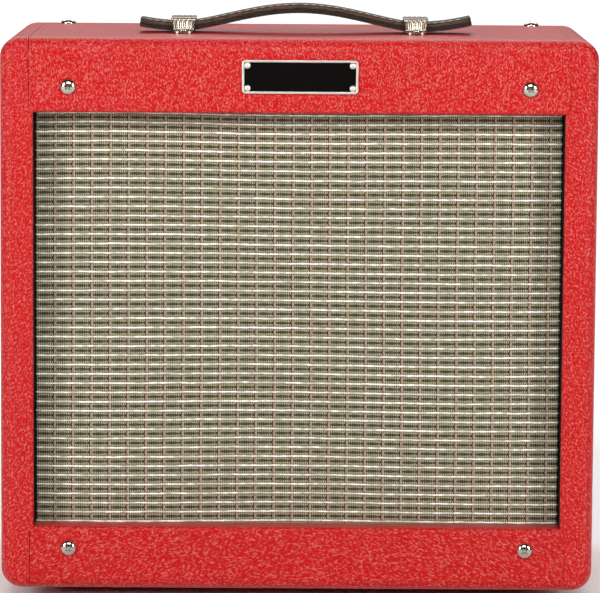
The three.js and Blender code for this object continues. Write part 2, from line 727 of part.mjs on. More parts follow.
// ---- Handle ----
const strapCentre = (x) => {
  const across = Math.abs(x) / BRACKET.x;
  if (across < 1) return STRAP.rest + STRAP.rise * Math.cos((across * Math.PI) / 2) ** STRAP.bow;
  return STRAP.rest + TAIL_LIFT * (Math.abs(x) - BRACKET.x) ** 2;
};
function strapLength([x0, x1], steps) {
  const half = STRAP.thickness / 2;
  const edge = (offset) =>
    Array.from({ length: steps + 1 }, (_, i) => {
      const x = x0 + ((x1 - x0) * i) / steps;
      return [x, strapCentre(x) + offset];
    });
  const y = [HANDLE_Y - STRAP.width / 2, HANDLE_Y + STRAP.width / 2];
  return alongY([...edge(-half), ...edge(half).reverse()], y);
}
piece("strap_grip", strapLength([-GRIP_END, GRIP_END], 16), strapLeather);
piece("strap_tail_left", strapLength([TAIL_ENDS[0], -GRIP_END - GAP], 6), strapLeather);
piece("strap_tail_right", strapLength([GRIP_END + GAP, TAIL_ENDS[1]], 6), strapLeather);

function bracket(x) {
  const [inner, outer] = BRACKET.leg;
  const base = TOP + GAP;
  const bridge = [
    [-outer, base],
    [-inner, base],
    [-inner, BRACKET.top[0]],
    [inner, BRACKET.top[0]],
    [inner, base],
    [outer, base],
    [outer, BRACKET.top[1] - 0.8],
    [outer - 0.8, BRACKET.top[1]],
    [-outer + 0.8, BRACKET.top[1]],
    [-outer, BRACKET.top[1] - 0.8],
  ].map(([y, z]) => [y + HANDLE_Y, z]);
  const wide = [x - BRACKET.width / 2, x + BRACKET.width / 2];
  const narrow = [x - BRACKET.foot / 2, x + BRACKET.foot / 2];
  const feet = [-1, 1].map((end) => {
    const y = [outer - 1, BRACKET.reach].map((reach) => HANDLE_Y + end * reach);
    return box(narrow, end < 0 ? [y[1], y[0]] : y, [base, base + 1.7]);
  });
  const holes = [-1, 1].map((end) =>
    drill(BRACKET_SCREW.shank, [TOP, TOP + 5], [x, HANDLE_Y + end * BRACKET_SCREW.reach]),
  );
  return cut(join(alongX(bridge, wide), ...feet), ...holes);
}
[-1, 1].forEach((side) => {
  const name = side < 0 ? "left" : "right";
  piece(`handle_bracket_${name}`, bracket(side * BRACKET.x), nickel);
  [-1, 1].forEach((end) => {
    const place = end < 0 ? "front" : "rear";
    const seat = [side * BRACKET.x, HANDLE_Y + end * BRACKET_SCREW.reach, TOP + 2 + GAP];
    piece(`bracket_screw_${name}_${place}`, solid(screw(BRACKET_SCREW)).translate(seat), nickel);
  });
});

export default amplifier;
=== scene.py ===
"""A small red combo amplifier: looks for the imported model, in metres, in the model's own frame."""

import json
import math
import random

import bmesh
import bpy
from mathutils import Matrix, Vector


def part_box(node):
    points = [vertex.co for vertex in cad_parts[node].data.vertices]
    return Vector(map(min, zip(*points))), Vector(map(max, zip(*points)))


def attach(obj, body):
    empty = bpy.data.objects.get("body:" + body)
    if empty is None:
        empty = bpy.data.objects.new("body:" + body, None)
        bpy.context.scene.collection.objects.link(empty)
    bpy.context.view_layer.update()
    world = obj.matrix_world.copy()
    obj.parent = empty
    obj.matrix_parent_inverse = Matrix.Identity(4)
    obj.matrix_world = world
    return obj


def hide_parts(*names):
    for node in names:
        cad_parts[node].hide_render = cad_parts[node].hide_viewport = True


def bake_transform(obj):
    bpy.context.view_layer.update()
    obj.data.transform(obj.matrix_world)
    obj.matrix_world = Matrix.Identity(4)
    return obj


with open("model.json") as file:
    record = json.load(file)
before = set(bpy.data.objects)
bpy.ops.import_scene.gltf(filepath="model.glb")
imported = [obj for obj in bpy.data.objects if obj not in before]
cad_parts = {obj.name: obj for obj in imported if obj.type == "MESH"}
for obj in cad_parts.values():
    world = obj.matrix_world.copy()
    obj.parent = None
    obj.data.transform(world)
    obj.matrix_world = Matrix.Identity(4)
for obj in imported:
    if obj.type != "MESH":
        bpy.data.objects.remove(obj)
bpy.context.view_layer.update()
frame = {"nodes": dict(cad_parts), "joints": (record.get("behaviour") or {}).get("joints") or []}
joints = {j["name"]: j for j in frame["joints"]}
MM = 0.001


# ---------------------------------------------------------------- camera, floor and lights
def lo(node):
    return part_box(node)[0]


def hi(node):
    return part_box(node)[1]


FRONT = lo("front_header").y
BACK = hi("cabinet_left_side").y
TOP = hi("cabinet_top").z
FLOOR_BOARD = lo("cabinet_bottom").z
HALF_WIDTH = hi("cabinet_right_side").x

camera = bpy.data.objects.new("camera", bpy.data.cameras.new("camera"))
bpy.context.scene.collection.objects.link(camera)
bpy.context.scene.camera = camera
camera.data.sensor_width = 36.0
camera.data.lens = 233.64
camera.data.clip_end = 60.0
pitch, roll = math.radians(90 - 7.10), math.radians(0.36)
camera.matrix_world = (
    Matrix.Translation((0.0013, FRONT - 2.589, 0.531))
    @ Matrix.Rotation(pitch, 4, "X")
    @ Matrix.Rotation(roll, 4, "Z")
)


def softbox(name, place, target, width, height, power):
    data = bpy.data.lights.new(name, "AREA")
    data.shape = "RECTANGLE"
    data.size, data.size_y, data.energy = width, height, power
    lamp = bpy.data.objects.new(name, data)
    bpy.context.scene.collection.objects.link(lamp)
    lamp.location = place
    lamp.rotation_euler = (Vector(target) - Vector(place)).to_track_quat("-Z", "Y").to_euler()


middle = (0, 0, 0.2)
softbox("softbox_left", (-2.0, -1.9, 1.1), middle, 0.6, 1.2, 52)
softbox("softbox_right", (2.0, -1.9, 1.1), middle, 0.6, 1.2, 46)
softbox("softbox_above", (0, -2.3, 1.9), middle, 1.4, 0.7, 30)
softbox("softbox_behind", (0, 2.4, 1.6), middle, 2.0, 1.0, 6)
softbox("softbox_floor", (0, 1.3, 1.6), (0, 1.0, 0), 3.2, 1.8, 38)


# ---------------------------------------------------------------- node helpers
class Value:
    """A socket in a node tree that arithmetic can be done on."""

    def __init__(self, tree, socket):
        self.tree, self.socket = tree, socket

    def math(self, operation, *others):
        return made(self.tree, "ShaderNodeMath", dict(enumerate((self, *others))), operation=operation)

    def __add__(self, other):
        return self.math("ADD", other)

    def __sub__(self, other):
        return self.math("SUBTRACT", other)

    def __mul__(self, other):
        return self.math("MULTIPLY", other)

    def fract(self):
        return self.math("FRACT")

    def abs(self):
        return self.math("ABSOLUTE")

    def max(self, other):
        return self.math("MAXIMUM", other)

    def step(self, low, high, rising=(0.0, 1.0)):
        """Smoothly from rising[0] at low to rising[1] at high."""
        inputs = {
            "Value": self, "From Min": low, "From Max": high, "To Min": rising[0],
            "To Max": rising[1],
        }
        return made(self.tree, "ShaderNodeMapRange", inputs, "Result", interpolation_type="SMOOTHSTEP")

    def near(self, centre, half, soft):
        """1 within half of centre, falling to 0 over soft beyond it."""
        return (self - centre).abs().step(half, half + soft, (1.0, 0.0))


def made(tree, kind, inputs, output=0, **settings):
    """The output of a new node whose inputs are Values or constants."""
    node = tree.nodes.new(kind)
    for key, value in settings.items():
        setattr(node, key, value)
    for key, value in inputs.items():
        if isinstance(value, Value):
            tree.links.new(value.socket, node.inputs[key])
        else:
            node.inputs[key].default_value = value
    return Value(tree, node.outputs[output])


class Material:
    def __init__(self, name, color=(0.8, 0.8, 0.8), **settings):
        self.data = bpy.data.materials.new(name)
        self.data.use_nodes = True
        self.tree = self.data.node_tree
        self.shader = self.tree.nodes["Principled BSDF"]
        self.set("Base Color", (*color, 1))
        for key, value in settings.items():
            self.set(key.replace("_", " ").title().replace("Ior", "IOR"), value)
        self.coordinates = self.tree.nodes.new("ShaderNodeTexCoord")

    def set(self, name, value):
        socket = self.shader.inputs[name]
        if isinstance(value, Value):
            self.tree.links.new(value.socket, socket)
        else:
            socket.default_value = value

    def vector_math(self, operation, *vectors):
        return made(self.tree, "ShaderNodeVectorMath", dict(enumerate(vectors)), operation=operation)

    def place(self, scale=(1, 1, 1), source="Object"):
        """Object coordinates in metres, or UV, each axis times its scale."""
        return self.scaled(Value(self.tree, self.coordinates.outputs[source]), scale)

    def scaled(self, vector, scale):
        return self.vector_math("MULTIPLY", vector, scale)

    def raised(self, vector, value):
        """vector with value added to its Z."""
        return self.vector_math("ADD", vector, made(self.tree, "ShaderNodeCombineXYZ", {"Z": value}))

    def axis(self, vector, index):
        return made(self.tree, "ShaderNodeSeparateXYZ", {0: vector}, index)

    def noise(self, vector, scale, detail=3.0, roughness=0.55, output="Fac"):
        inputs = {"Vector": vector, "Scale": scale, "Detail": detail, "Roughness": roughness}
        return made(self.tree, "ShaderNodeTexNoise", inputs, output)

    def cells(self, vector, scale):
        """Distance to the nearest edge between the cells of a pebbled pattern."""
        inputs = {"Vector": vector, "Scale": scale}
        return made(self.tree, "ShaderNodeTexVoronoi", inputs, "Distance", feature="DISTANCE_TO_EDGE")

    def warp(self, vector, scale, amount):
        """vector moved about by a noise."""
        swirl = self.noise(vector, scale, 2.0, 0.5, "Color")
        return self.vector_math("MULTIPLY_ADD", swirl, (amount,) * 3, vector)

    def mix(self, amount, a, b):
        """Colour a where amount is 0 and b where it is 1."""
        first, second = (c if isinstance(c, Value) else (*c, 1) for c in (a, b))
        inputs = {"Factor": amount, 6: first, 7: second}
        return made(self.tree, "ShaderNodeMix", inputs, 2, data_type="RGBA")

    def bump(self, height, distance):
        """The normal of a relief, its height times distance in metres."""
        self.set("Normal", made(self.tree, "ShaderNodeBump", {"Height": height, "Distance": distance}))


# ---------------------------------------------------------------- world and floor
world = bpy.data.worlds.new("studio")
bpy.context.scene.world = world
world.use_nodes = True
sky = world.node_tree
direction = Value(sky, sky.nodes.new("ShaderNodeTexCoord").outputs["Generated"])
towards = [made(sky, "ShaderNodeSeparateXYZ", {0: direction}, axis) for axis in "YZ"]
# brightest behind the amplifier, and dim above the horizon
strength = towards[0].step(-0.3, 0.45, (0.3, 1.0)) * towards[1].step(-0.04, 0.03, (1.12, 0.09))
sky.links.new(strength.socket, sky.nodes["Background"].inputs["Strength"])
sky.nodes["Background"].inputs["Color"].default_value = (1, 1, 1, 1)

floor_material = Material("pale_floor", (0.68, 0.68, 0.68), roughness=1.0, specular_ior_level=0.0)
floor_grain = floor_material.noise(floor_material.place(), 3.0)
floor_material.set("Base Color", floor_material.mix(floor_grain, (0.86, 0.86, 0.86), (0.89, 0.89, 0.89)))
floor_mesh = bpy.data.meshes.new("floor")
reach, before, beyond = 2.4, -6.0, 1.6
corners = [(-reach, before, 0), (reach, before, 0), (reach, beyond, 0), (-reach, beyond, 0)]
floor_mesh.from_pydata(corners, [], [(0, 1, 2, 3)])
floor_mesh.materials.append(floor_material.data)
floor = bpy.data.objects.new("floor", floor_mesh)
bpy.context.scene.collection.objects.link(floor)
bpy.context.scene.view_settings.view_transform = "Standard"


# ---------------------------------------------------------------- materials
def red_vinyl(name, width, height, bow=0.0, creases=0.0):
    """Pebbled covering whose grains, of a mean width and height, have a painted highlight on the top of
    each grain.

    bow arches the rows of grains over the middle of the cabinet, and creases cuts lines between them, which
    are pressed in and painted darker as shade.
    """
    m = Material(name, (0.46, 0.002, 0.002), specular_ior_level=0.22)
    at = m.place()
    x = m.axis(at, 0)
    rows = m.scaled(m.raised(at, x * x * bow), (0.001 / width, 0.001 / width, 0.001 / height))
    grain = m.noise(m.warp(rows, 400.0, 0.0008), 1150.0, 1.0, 0.5)
    # painted highlight: the top of each grain is coloured paler pink
    painted_highlight = grain.step(0.45, 0.74)
    line = (m.noise(m.scaled(rows, (0.6, 1.0, 1.2)), 520.0, 2.0) - 0.5).abs().step(0.0, 0.045, (1.0, 0.0))
    # the creases are pressed in by the bump and painted darker red as shade
    groove = line * creases
    shade = m.noise(at, 24.0, 2.0)
    red = m.mix(shade, (0.405, 0.0006, 0.0008), (0.44, 0.0008, 0.001))
    red = m.mix(groove, m.mix(painted_highlight, red, (0.52, 0.1, 0.088)), (0.34, 0.0008, 0.001))
    m.set("Base Color", red)
    fine = m.noise(at, 2200.0, 2.0)
    m.set("Roughness", fine * 0.12 + 0.28)
    m.bump(grain.step(0.3, 0.72) * 0.9 - groove * 0.4 + fine * 0.04, 0.0002)
    return m.data


def dark_wood(name, color, dark, grain_axis=(1.0, 1.0, 14.0)):
    m = Material(name, color, roughness=0.75)
    streak = m.noise(m.place(grain_axis), 60.0, 5.0, 0.6)
    m.set("Base Color", m.mix(streak, dark, color))
    m.set("Roughness", streak * 0.25 + 0.6)
    m.bump(streak, 0.0002)
    return m.data


def plain(name, color, varied, scale=220.0, depth=0.00005, roughness=0.45, **settings):
    """A moulded, painted or cast surface: slight variation of colour, roughness and height."""
    m = Material(name, color, **settings)
    mottle = m.noise(m.place(), scale, 4.0)
    m.set("Base Color", m.mix(mottle, color, varied))
    m.set("Roughness", mottle * 0.2 + (roughness - 0.1))
    m.bump(mottle, depth)
    return m.data


def bright_metal(name, color, varied, roughness=0.1, brush=None):
    m = Material(name, color, metallic=1.0)
    smear = m.noise(m.place(brush or (1, 1, 1)), 90.0, 3.0)
    m.set("Base Color", m.mix(smear, color, varied))
    m.set("Roughness", smear * 0.1 + (roughness - 0.03))
    m.bump(smear, 0.00002 if brush is None else 0.00006)
    return m.data


def grille_weave():
    """Khaki yarns side by side, dark floats in each cell, and a red and a pink thread down each side.

    UV is counted in cells: U between thread pairs and V between the pale cords.
    """
    m = Material("grille_weave", (0.4, 0.37, 0.25), roughness=0.85, specular_ior_level=0.15)
    at = m.place()
    cell = m.place((1, 1, 1), "UV")
    across, up = m.axis(cell, 0), m.axis(cell, 1)
    column, row, yarn = across.fract(), up.fract(), (across * 10).fract()
    uneven = m.noise(at, 420.0, 3.0)
    loose = m.noise(m.place((0.6, 1.0, 1.0)), 110.0, 1.0)

    between = yarn.near(0.5, 0.13, 0.22)
    ground = m.mix(between, (0.41, 0.365, 0.232), (0.06, 0.053, 0.03))
    ground = m.mix(uneven.step(0.35, 0.8), ground, (0.29, 0.26, 0.155))
    dots = between * row.near(0.17, 0.05, 0.06).max(row.near(0.83, 0.05, 0.06))
    ground = m.mix(dots * loose.step(0.36, 0.5, (0.75, 1.0)), ground, (0.012, 0.012, 0.006))
    middle_row = row.near(0.5, 0.1, 0.08)
    lens = ((column - 0.45).abs() * 0.2 + (row - 0.5).abs()).step(0.13, 0.21, (1.0, 0.0))
    float_mask = lens * column.near(0.48, 0.36, 0.03)
    beads = m.mix(between, (0.085, 0.075, 0.045), (0.001, 0.001, 0.001))
    ground = m.mix(float_mask * uneven.step(0.2, 0.5, (0.7, 1.0)), ground, beads)
    knot = middle_row * column.near(0.92, 0.032, 0.02)
    ground = m.mix(knot, ground, (0.004, 0.003, 0.003))
    ground = m.mix(column.near(0.985, 0.026, 0.02), ground, (0.085, 0.02, 0.018))
    ground = m.mix(column.near(0.032, 0.008, 0.012), ground, (0.36, 0.2, 0.15))
    # painted shade: the weave is darkened under and beside each pale cord
    shade_under_cord = row.near(0.0, 0.08, 0.05).max(row.near(1.0, 0.08, 0.05))
    m.set("Base Color", m.mix(shade_under_cord, ground, (0.12, 0.11, 0.07)))
    yarns = yarn.near(0.0, 0.15, 0.3).max(yarn.near(1.0, 0.15, 0.3))
    m.bump(yarns * 0.6 + uneven * 0.5, 0.00018)
    return m.data


def strap_edge():
    """The cut edge of the strap: two layers of dark leather, with a paler core in the upper one."""
    m = Material("strap_edge", (0.05, 0.04, 0.03), roughness=0.85, specular_ior_level=0.12)
    across = m.axis(m.place((1, 1, 1), "UV"), 1)
    fibre = m.noise(m.place((1.0, 14.0, 14.0)), 240.0, 4.0).step(0.3, 0.7)
    lower = m.mix(fibre, (0.012, 0.010, 0.010), (0.045, 0.038, 0.036))
    upper = m.mix(fibre, (0.028, 0.016, 0.009), (0.17, 0.10, 0.055))
    layered = m.mix(across.step(0.52, 0.58), lower, upper)
    layered = m.mix(across.step(0.86, 0.93), layered, (0.012, 0.011, 0.011))
    frayed = (across + fibre * 0.12).step(0.1, 0.17, (1.0, 0.0))
    m.set("Base Color", m.mix(frayed, layered, (0.2, 0.11, 0.045)))
    m.bump(fibre + across.near(0.55, 0.02, 0.03) * -1.2, 0.0002)
    return m.data


def leather(name, color, worn):
    m = Material(name, color, specular_ior_level=0.25)
    at = m.place()
    grain = m.cells(m.warp(at, 300.0, 0.0008), 800.0).step(0.0, 0.3)
    wear = m.noise(at, 70.0, 4.0)
    m.set("Base Color", m.mix(wear.step(0.45, 0.75), color, worn))
    m.set("Roughness", wear * 0.2 + 0.5)
    m.bump(grain, 0.00012)
    return m.data


def clear_glass():
    m = Material("clear_glass", (0.95, 0.97, 0.97), roughness=0.03, ior=1.47)
    m.set("Alpha", 0.22)
    smudge = m.noise(m.place(), 60.0, 3.0)
    m.set("Roughness", smudge * 0.08)
    m.set("Base Color", m.mix(smudge, (0.93, 0.95, 0.95), (0.99, 0.99, 0.99)))
    return m.data


VINYL = red_vinyl("red_vinyl", 0.00115, 0.0018)
VINYL_SIDE = red_vinyl("red_vinyl_side", 0.0016, 0.0018, 1.2, 0.35)
VINYL_RAIL = red_vinyl("red_vinyl_rail", 0.0022, 0.0014, 1.2, 0.6)
WEAVE = grille_weave()
INNER_WOOD = dark_wood("inner_plywood", (0.30, 0.19, 0.10), (0.17, 0.10, 0.05))
BLACK_WOOD = dark_wood("black_board", (0.03, 0.028, 0.026), (0.012, 0.011, 0.010))
MATT = {"roughness": 0.9, "specular_ior_level": 0.05}
# near-black matt paint, used as painted shade on the opening's inner sides and on the battens beside the
# baffle
BLACK_PAINT_AS_SHADE = plain("black_paint_as_shade", (0.005, 0.004, 0.004), (0.009, 0.008, 0.008), **MATT)
STRAP_TOP = leather("strap_leather", (0.022, 0.017, 0.015), (0.07, 0.05, 0.04))
STRAP_EDGE = strap_edge()
STITCH = plain("stitch_thread", (0.72, 0.66, 0.56), (0.5, 0.44, 0.36), 900.0, 0.0001, 0.8)
NICKEL = bright_metal("nickel", (0.58, 0.53, 0.46), (0.44, 0.40, 0.34), 0.14)
# painted reflections: the bracket's nickel is tinted warm for the red covering and streaked dark brown for
# the dark surroundings
BRACKET_NICKEL_PAINTED_REFLECTIONS = bright_metal("bracket_nickel_painted_reflections", (0.58, 0.49, 0.41), (0.24, 0.18, 0.14), 0.24)
SATIN_NICKEL = bright_metal("satin_nickel", (0.80, 0.75, 0.68), (0.66, 0.61, 0.54), 0.38)
CHROME = bright_metal("chrome", (0.88, 0.88, 0.89), (0.80, 0.81, 0.83), 0.09)
PANEL = bright_metal("plated_panel", (0.60, 0.60, 0.61), (0.50, 0.51, 0.52), 0.32, (1.0, 30.0, 30.0))
ZINC = bright_metal("zinc_plate", (0.56, 0.56, 0.55), (0.42, 0.42, 0.40), 0.34)
BLACK_STEEL = plain("black_steel", (0.02, 0.02, 0.022), (0.035, 0.035, 0.036), 300.0, 0.00006, 0.4)
FIELD_GLOSS = {"roughness": 0.4, "specular_ior_level": 0.03}
FIELD = plain("badge_field", (0.002, 0.0015, 0.0015), (0.004, 0.003, 0.003), 400.0, 0.00002, **FIELD_GLOSS)
PLASTIC = plain("black_plastic", (0.012, 0.012, 0.013), (0.02, 0.02, 0.02), 500.0, 0.00003, 0.32)
RUBBER = plain("black_rubber", (0.02, 0.02, 0.02), (0.034, 0.033, 0.032), 260.0, 0.0001, 0.8)
PAPER = plain("cone_paper", (0.032, 0.029, 0.027), (0.06, 0.055, 0.05), 700.0, 0.00015, 0.9)
CABLE = plain("cable_sheath", (0.012, 0.012, 0.012), (0.022, 0.022, 0.022), 500.0, 0.00004, 0.5)
GLASS = clear_glass()
BRASS = bright_metal("brass", (0.75, 0.56, 0.26), (0.6, 0.42, 0.18), 0.25)
ELECTRODE = plain("electrode_grey", (0.12, 0.12, 0.125), (0.2, 0.2, 0.2), 400.0, 0.0001, 0.5)
FILAMENT = plain("getter_silver", (0.5, 0.5, 0.52), (0.3, 0.3, 0.32), 200.0, 0.00005, 0.2)
LENS = plain("red_lens", (0.5, 0.006, 0.006), (0.7, 0.02, 0.012), 200.0, 0.00003, 0.12)
RESIST = plain("board_resist", (0.03, 0.11, 0.04), (0.045, 0.15, 0.06), 300.0, 0.00004, 0.35)
BRASS_BOARD = plain("phenolic_board", (0.12, 0.055, 0.02), (0.2, 0.1, 0.04), 300.0, 0.00005, 0.5)
CORK = plain("gasket_cork", (0.12, 0.09, 0.06), (0.2, 0.15, 0.1), 500.0, 0.0002, 0.9)
FERRITE = plain("ferrite", (0.035, 0.035, 0.036), (0.055, 0.054, 0.053), 300.0, 0.0001, 0.65)
SPIDER_CLOTH = plain("spider_cloth", (0.42, 0.25, 0.08), (0.32, 0.18, 0.05), 900.0, 0.0002, 0.8)
LAMINATION = plain("laminations", (0.05, 0.05, 0.052), (0.1, 0.098, 0.095), 500.0, 0.0001, 0.5)
RESISTOR = plain("resistor_body", (0.32, 0.2, 0.1), (0.14, 0.28, 0.36), 60.0, 0.00004, 0.4)
SLEEVE = plain("capacitor_sleeve", (0.02, 0.03, 0.09), (0.03, 0.045, 0.13), 300.0, 0.00004, 0.35)
WIRE_RED = plain("wire_red", (0.25, 0.01, 0.01), (0.35, 0.02, 0.02), 500.0, 0.00004, 0.5)
MARKING = plain("dial_marking", (0.01, 0.01, 0.012), (0.02, 0.02, 0.022), 600.0, 0.00002, 0.5)
POINTER = plain("pointer_white", (0.8, 0.79, 0.75), (0.7, 0.69, 0.65), 600.0, 0.00002, 0.5)


# ---------------------------------------------------------------- making pieces, in millimetres
def span(node):
    """((x0, x1), (y0, y1), (z0, z1)) of a CAD node, in millimetres."""
    low, high = lo(node) / MM, hi(node) / MM
    return tuple((low[i], high[i]) for i in range(3))


def centre(node):
    return (lo(node) + hi(node)) / 2 / MM


def add(name, mesh, nodes=(), body="cabinet", place=None):
    """Puts a mesh in the scene, riding on a body, for the CAD nodes that it stands for."""
    piece = bpy.data.objects.new(name, mesh)
    bpy.context.scene.collection.objects.link(piece)
    if place is not None:
        piece.matrix_world = place
    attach(piece, body)
    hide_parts(*nodes)
    return piece


def surface(name, points, faces, materials, which=None, smooth=True, uv=None):
    """A mesh from points in millimetres; which(face centre, face normal) picks the material."""
    mesh = bpy.data.meshes.new(name)
    mesh.from_pydata([Vector(p) * MM for p in points], [], faces)
    for material in materials:
        mesh.materials.append(material)
    bm = bmesh.new()
    bm.from_mesh(mesh)
    bmesh.ops.recalc_face_normals(bm, faces=bm.faces)
    for face in bm.faces:
        face.smooth = smooth
        if which:
            face.material_index = which(face.calc_center_median() / MM, face.normal)
    bm.to_mesh(mesh)
    bm.free()
    if smooth:
        mesh.set_sharp_from_angle(angle=math.radians(38))
    if uv:
        layer = mesh.uv_layers.new()
        for loop in mesh.loops:
            layer.data[loop.index].uv = uv[loop.vertex_index]
    return mesh


def soften(piece, radius, segments=3, angle=35):
    """Rounds every edge sharper than angle, in degrees."""
    for edge in piece.data.edges:
        edge.use_edge_sharp = False
    bevel = piece.modifiers.new("soften", "BEVEL")
    bevel.width, bevel.segments = radius * MM, segments
    bevel.limit_method, bevel.angle_limit = "ANGLE", math.radians(angle)
    bevel.harden_normals = True
    return piece


def put(name, shape, material, nodes=(), place=None, body="cabinet", soft=None):
    """Adds a piece of one material; soft is (radius, segments, angle) of its rounded edges."""
    piece = add(name, surface(name, *shape, [material]), nodes, body, place)
    return soften(piece, *soft) if soft else piece


def thicken(piece, thickness):
    """Gives a single skin its thickness, half to each side."""
    skin = piece.modifiers.new("thick", "SOLIDIFY")
    skin.thickness, skin.offset = thickness * MM, 0


def block(x, y, z):
    """Points and faces of a box between two values on each axis."""
    points = [(i, j, k) for i in x for j in y for k in z]
    faces = [(0, 1, 3, 2), (4, 6, 7, 5), (0, 4, 5, 1), (2, 3, 7, 6), (0, 2, 6, 4), (1, 5, 7, 3)]
    return points, faces


def joined(*shapes):
    """Several (points, faces) as one."""
    points, faces = [], []
    for shape_points, shape_faces in shapes:
        faces += [tuple(i + len(points) for i in face) for face in shape_faces]
        points += shape_points
    return points, faces


def turned(profile, sides=72, turn=None, missing=None):
    """A profile of (radius, height) turned about Z. turn(radius, height, angle) can move a point."""
    closed_ring = all(r > 1e-6 for r, _ in profile)
    points, faces, rows = [], [], []
    for r, h in profile:
        if r <= 1e-6:
            rows.append([len(points)])
            points.append((0, 0, h))
            continue
        rows.append([len(points) + i for i in range(sides)])
        for i in range(sides):
            a = 2 * math.pi * i / sides
            rr, hh = turn(r, h, a) if turn else (r, h)
            points.append((rr * math.cos(a), rr * math.sin(a), hh))
    pairs = list(zip(rows, rows[1:])) + ([(rows[-1], rows[0])] if closed_ring and missing is None else [])
    for number, (a, b) in enumerate(pairs):
        for i in range(sides):
            j = (i + 1) % sides
            if missing and missing(number, i):
                continue
            if len(a) == 1:
                faces.append((a[0], b[i], b[j]))
            elif len(b) == 1:
                faces.append((a[i], b[0], a[j]))
            else:
                faces.append((a[i], b[i], b[j], a[j]))
    return points, faces


def prism(outline, low, high):
    """A flat outline of (x, y) points carried from one height to another."""
    n = len(outline)
    points = [(x, y, low) for x, y in outline] + [(x, y, high) for x, y in outline]
    sides = [(i, (i + 1) % n, (i + 1) % n + n, i + n) for i in range(n)]
    return points, sides + [tuple(range(n))[::-1], tuple(range(n, 2 * n))]


def circle(radius, sides, x=0.0, y=0.0, start=0.0):
    angles = [start + 2 * math.pi * i / sides for i in range(sides)]
    return [(x + radius * math.cos(a), y + radius * math.sin(a)) for a in angles]


def rod(radius, low, high, x=0.0, y=0.0, sides=32, start=0.0):
    return prism(circle(radius, sides, x, y, start), low, high)


def moved(shape, x=0.0, y=0.0, z=0.0, matrix=None):
    points, faces = shape
    if matrix is not None:
        points = [tuple(matrix @ Vector(p)) for p in points]
    return [(px + x, py + y, pz + z) for px, py, pz in points], faces


def arc(x, y, radius, start, stop, steps=10):
    """Points of an arc, its angles in degrees."""
    angles = [math.radians(start + (stop - start) * i / steps) for i in range(steps + 1)]
    return [(x + radius * math.cos(a), y + radius * math.sin(a)) for a in angles]


def rounded_rectangle(half_x, half_y, radius, steps=6):
    points = []
    for sx, sy, start in ((1, 1, 0), (-1, 1, 90), (-1, -1, 180), (1, -1, 270)):
        points += arc(sx * (half_x - radius), sy * (half_y - radius), radius, start, start + 90, steps)
    return points


def tube(path, radius, sides=12):
    """A round section swept along points."""
    points, faces = [], []
    side = Vector((0, 0, 1))
    for i, at in enumerate(path):
        along = (Vector(path[min(i + 1, len(path) - 1)]) - Vector(path[max(i - 1, 0)])).normalized()
        side = (side - along * side.dot(along)).normalized()
        other = along.cross(side)
        for k in range(sides):
            a = 2 * math.pi * k / sides
            points.append(tuple(Vector(at) + radius * (side * math.cos(a) + other * math.sin(a))))
    for i in range(len(path) - 1):
        for k in range(sides):
            j = (k + 1) % sides
            faces.append((i * sides + k, i * sides + j, (i + 1) * sides + j, (i + 1) * sides + k))
    faces.append(tuple(range(sides)))
    faces.append(tuple(range(len(points) - sides, len(points))))
    return points, faces


def facing(direction, x, y, z):
    """The placing whose +Z points along direction, at a point in millimetres."""
    turn = {
        "front": Matrix.Rotation(math.radians(90), 4, "X"),
        "back": Matrix.Rotation(math.radians(-90), 4, "X"),
        "down": Matrix.Rotation(math.radians(180), 4, "X"),
        "up": Matrix.Identity(4),
    }[direction]
    return Matrix.Translation(Vector((x, y, z)) * MM) @ turn


VOLUME_TURN = joints["volume_turn"]
PANEL_NORMAL = Vector(VOLUME_TURN["axis"])
SLOPE = math.atan2(PANEL_NORMAL.y, PANEL_NORMAL.z)
KNOB_SEAT = 3.2  # height of a knob's underside over the panel


def on_panel(x):
    """The placing on the control panel's outer face at x, with +Z out of the panel."""
    at = Vector(VOLUME_TURN["pos_m"]) - PANEL_NORMAL * KNOB_SEAT * MM
    return Matrix.Translation((x * MM, at.y, at.z)) @ Matrix.Rotation(-SLOPE, 4, "X")


# ---------------------------------------------------------------- cabinet
OPENING_EDGE = 2.8  # radius of the edges round the opening
CORNER, RIM = 14.0, 9.0  # radii of the long edges and of the front and rear rims
front_y, back_y = FRONT / MM, BACK / MM
top_z, floor_z = TOP / MM, FLOOR_BOARD / MM
side_x = HALF_WIDTH / MM
inner_x = hi("cabinet_top").x / MM + 0.3
board_back = hi("front_header").y / MM
slope_y = hi("cabinet_top").y / MM
opening_x = 177.5  # half the width of the grille opening
opening_z = (span("front_lower_rail")[2][1], span("front_header")[2][0])
LIP_EDGE = 2.6
TURN_IN = 24.0  # the covering is turned in this far at the back


def steady(piece):
    """Keeps flat faces evenly lit beside their rounded edges."""
    normals = piece.modifiers.new("steady", "WEIGHTED_NORMAL")
    normals.keep_sharp = True
    normals.weight = 90
    return piece


def extruded(outline, x):
    """An outline of (y, z) points carried along X."""
    points, faces = prism(outline, *x)
    return [(c, a, b) for a, b, c in points], faces


def rounded_block():
    """The whole cabinet as one round-edged block, which the side boards are cut from."""
    half_z, middle_z = (top_z - floor_z) / 2, (top_z + floor_z) / 2
    turns = [math.pi / 2 * i / 10 for i in range(11)]
    rim = [(RIM * (1 - math.cos(a)), RIM * (1 - math.sin(a))) for a in turns]
    levels = [(front_y + depth, inset) for depth, inset in rim]
    levels += [(back_y - depth, inset) for depth, inset in reversed(rim)]
    points, faces, count = [], [], 0
    for y, inset in levels:
        ring = rounded_rectangle(side_x - inset, half_z - inset, CORNER - inset, 10)
        count = len(ring)
        points += [(x, y, z + middle_z) for x, z in ring]
    for level in range(len(levels) - 1):
        for i in range(count):
            j = (i + 1) % count
            a, b = level * count, (level + 1) * count
            faces.append((a + i, a + j, b + j, b + i))
    return points, faces + [tuple(range(count)), tuple(range(len(points) - count, len(points)))]


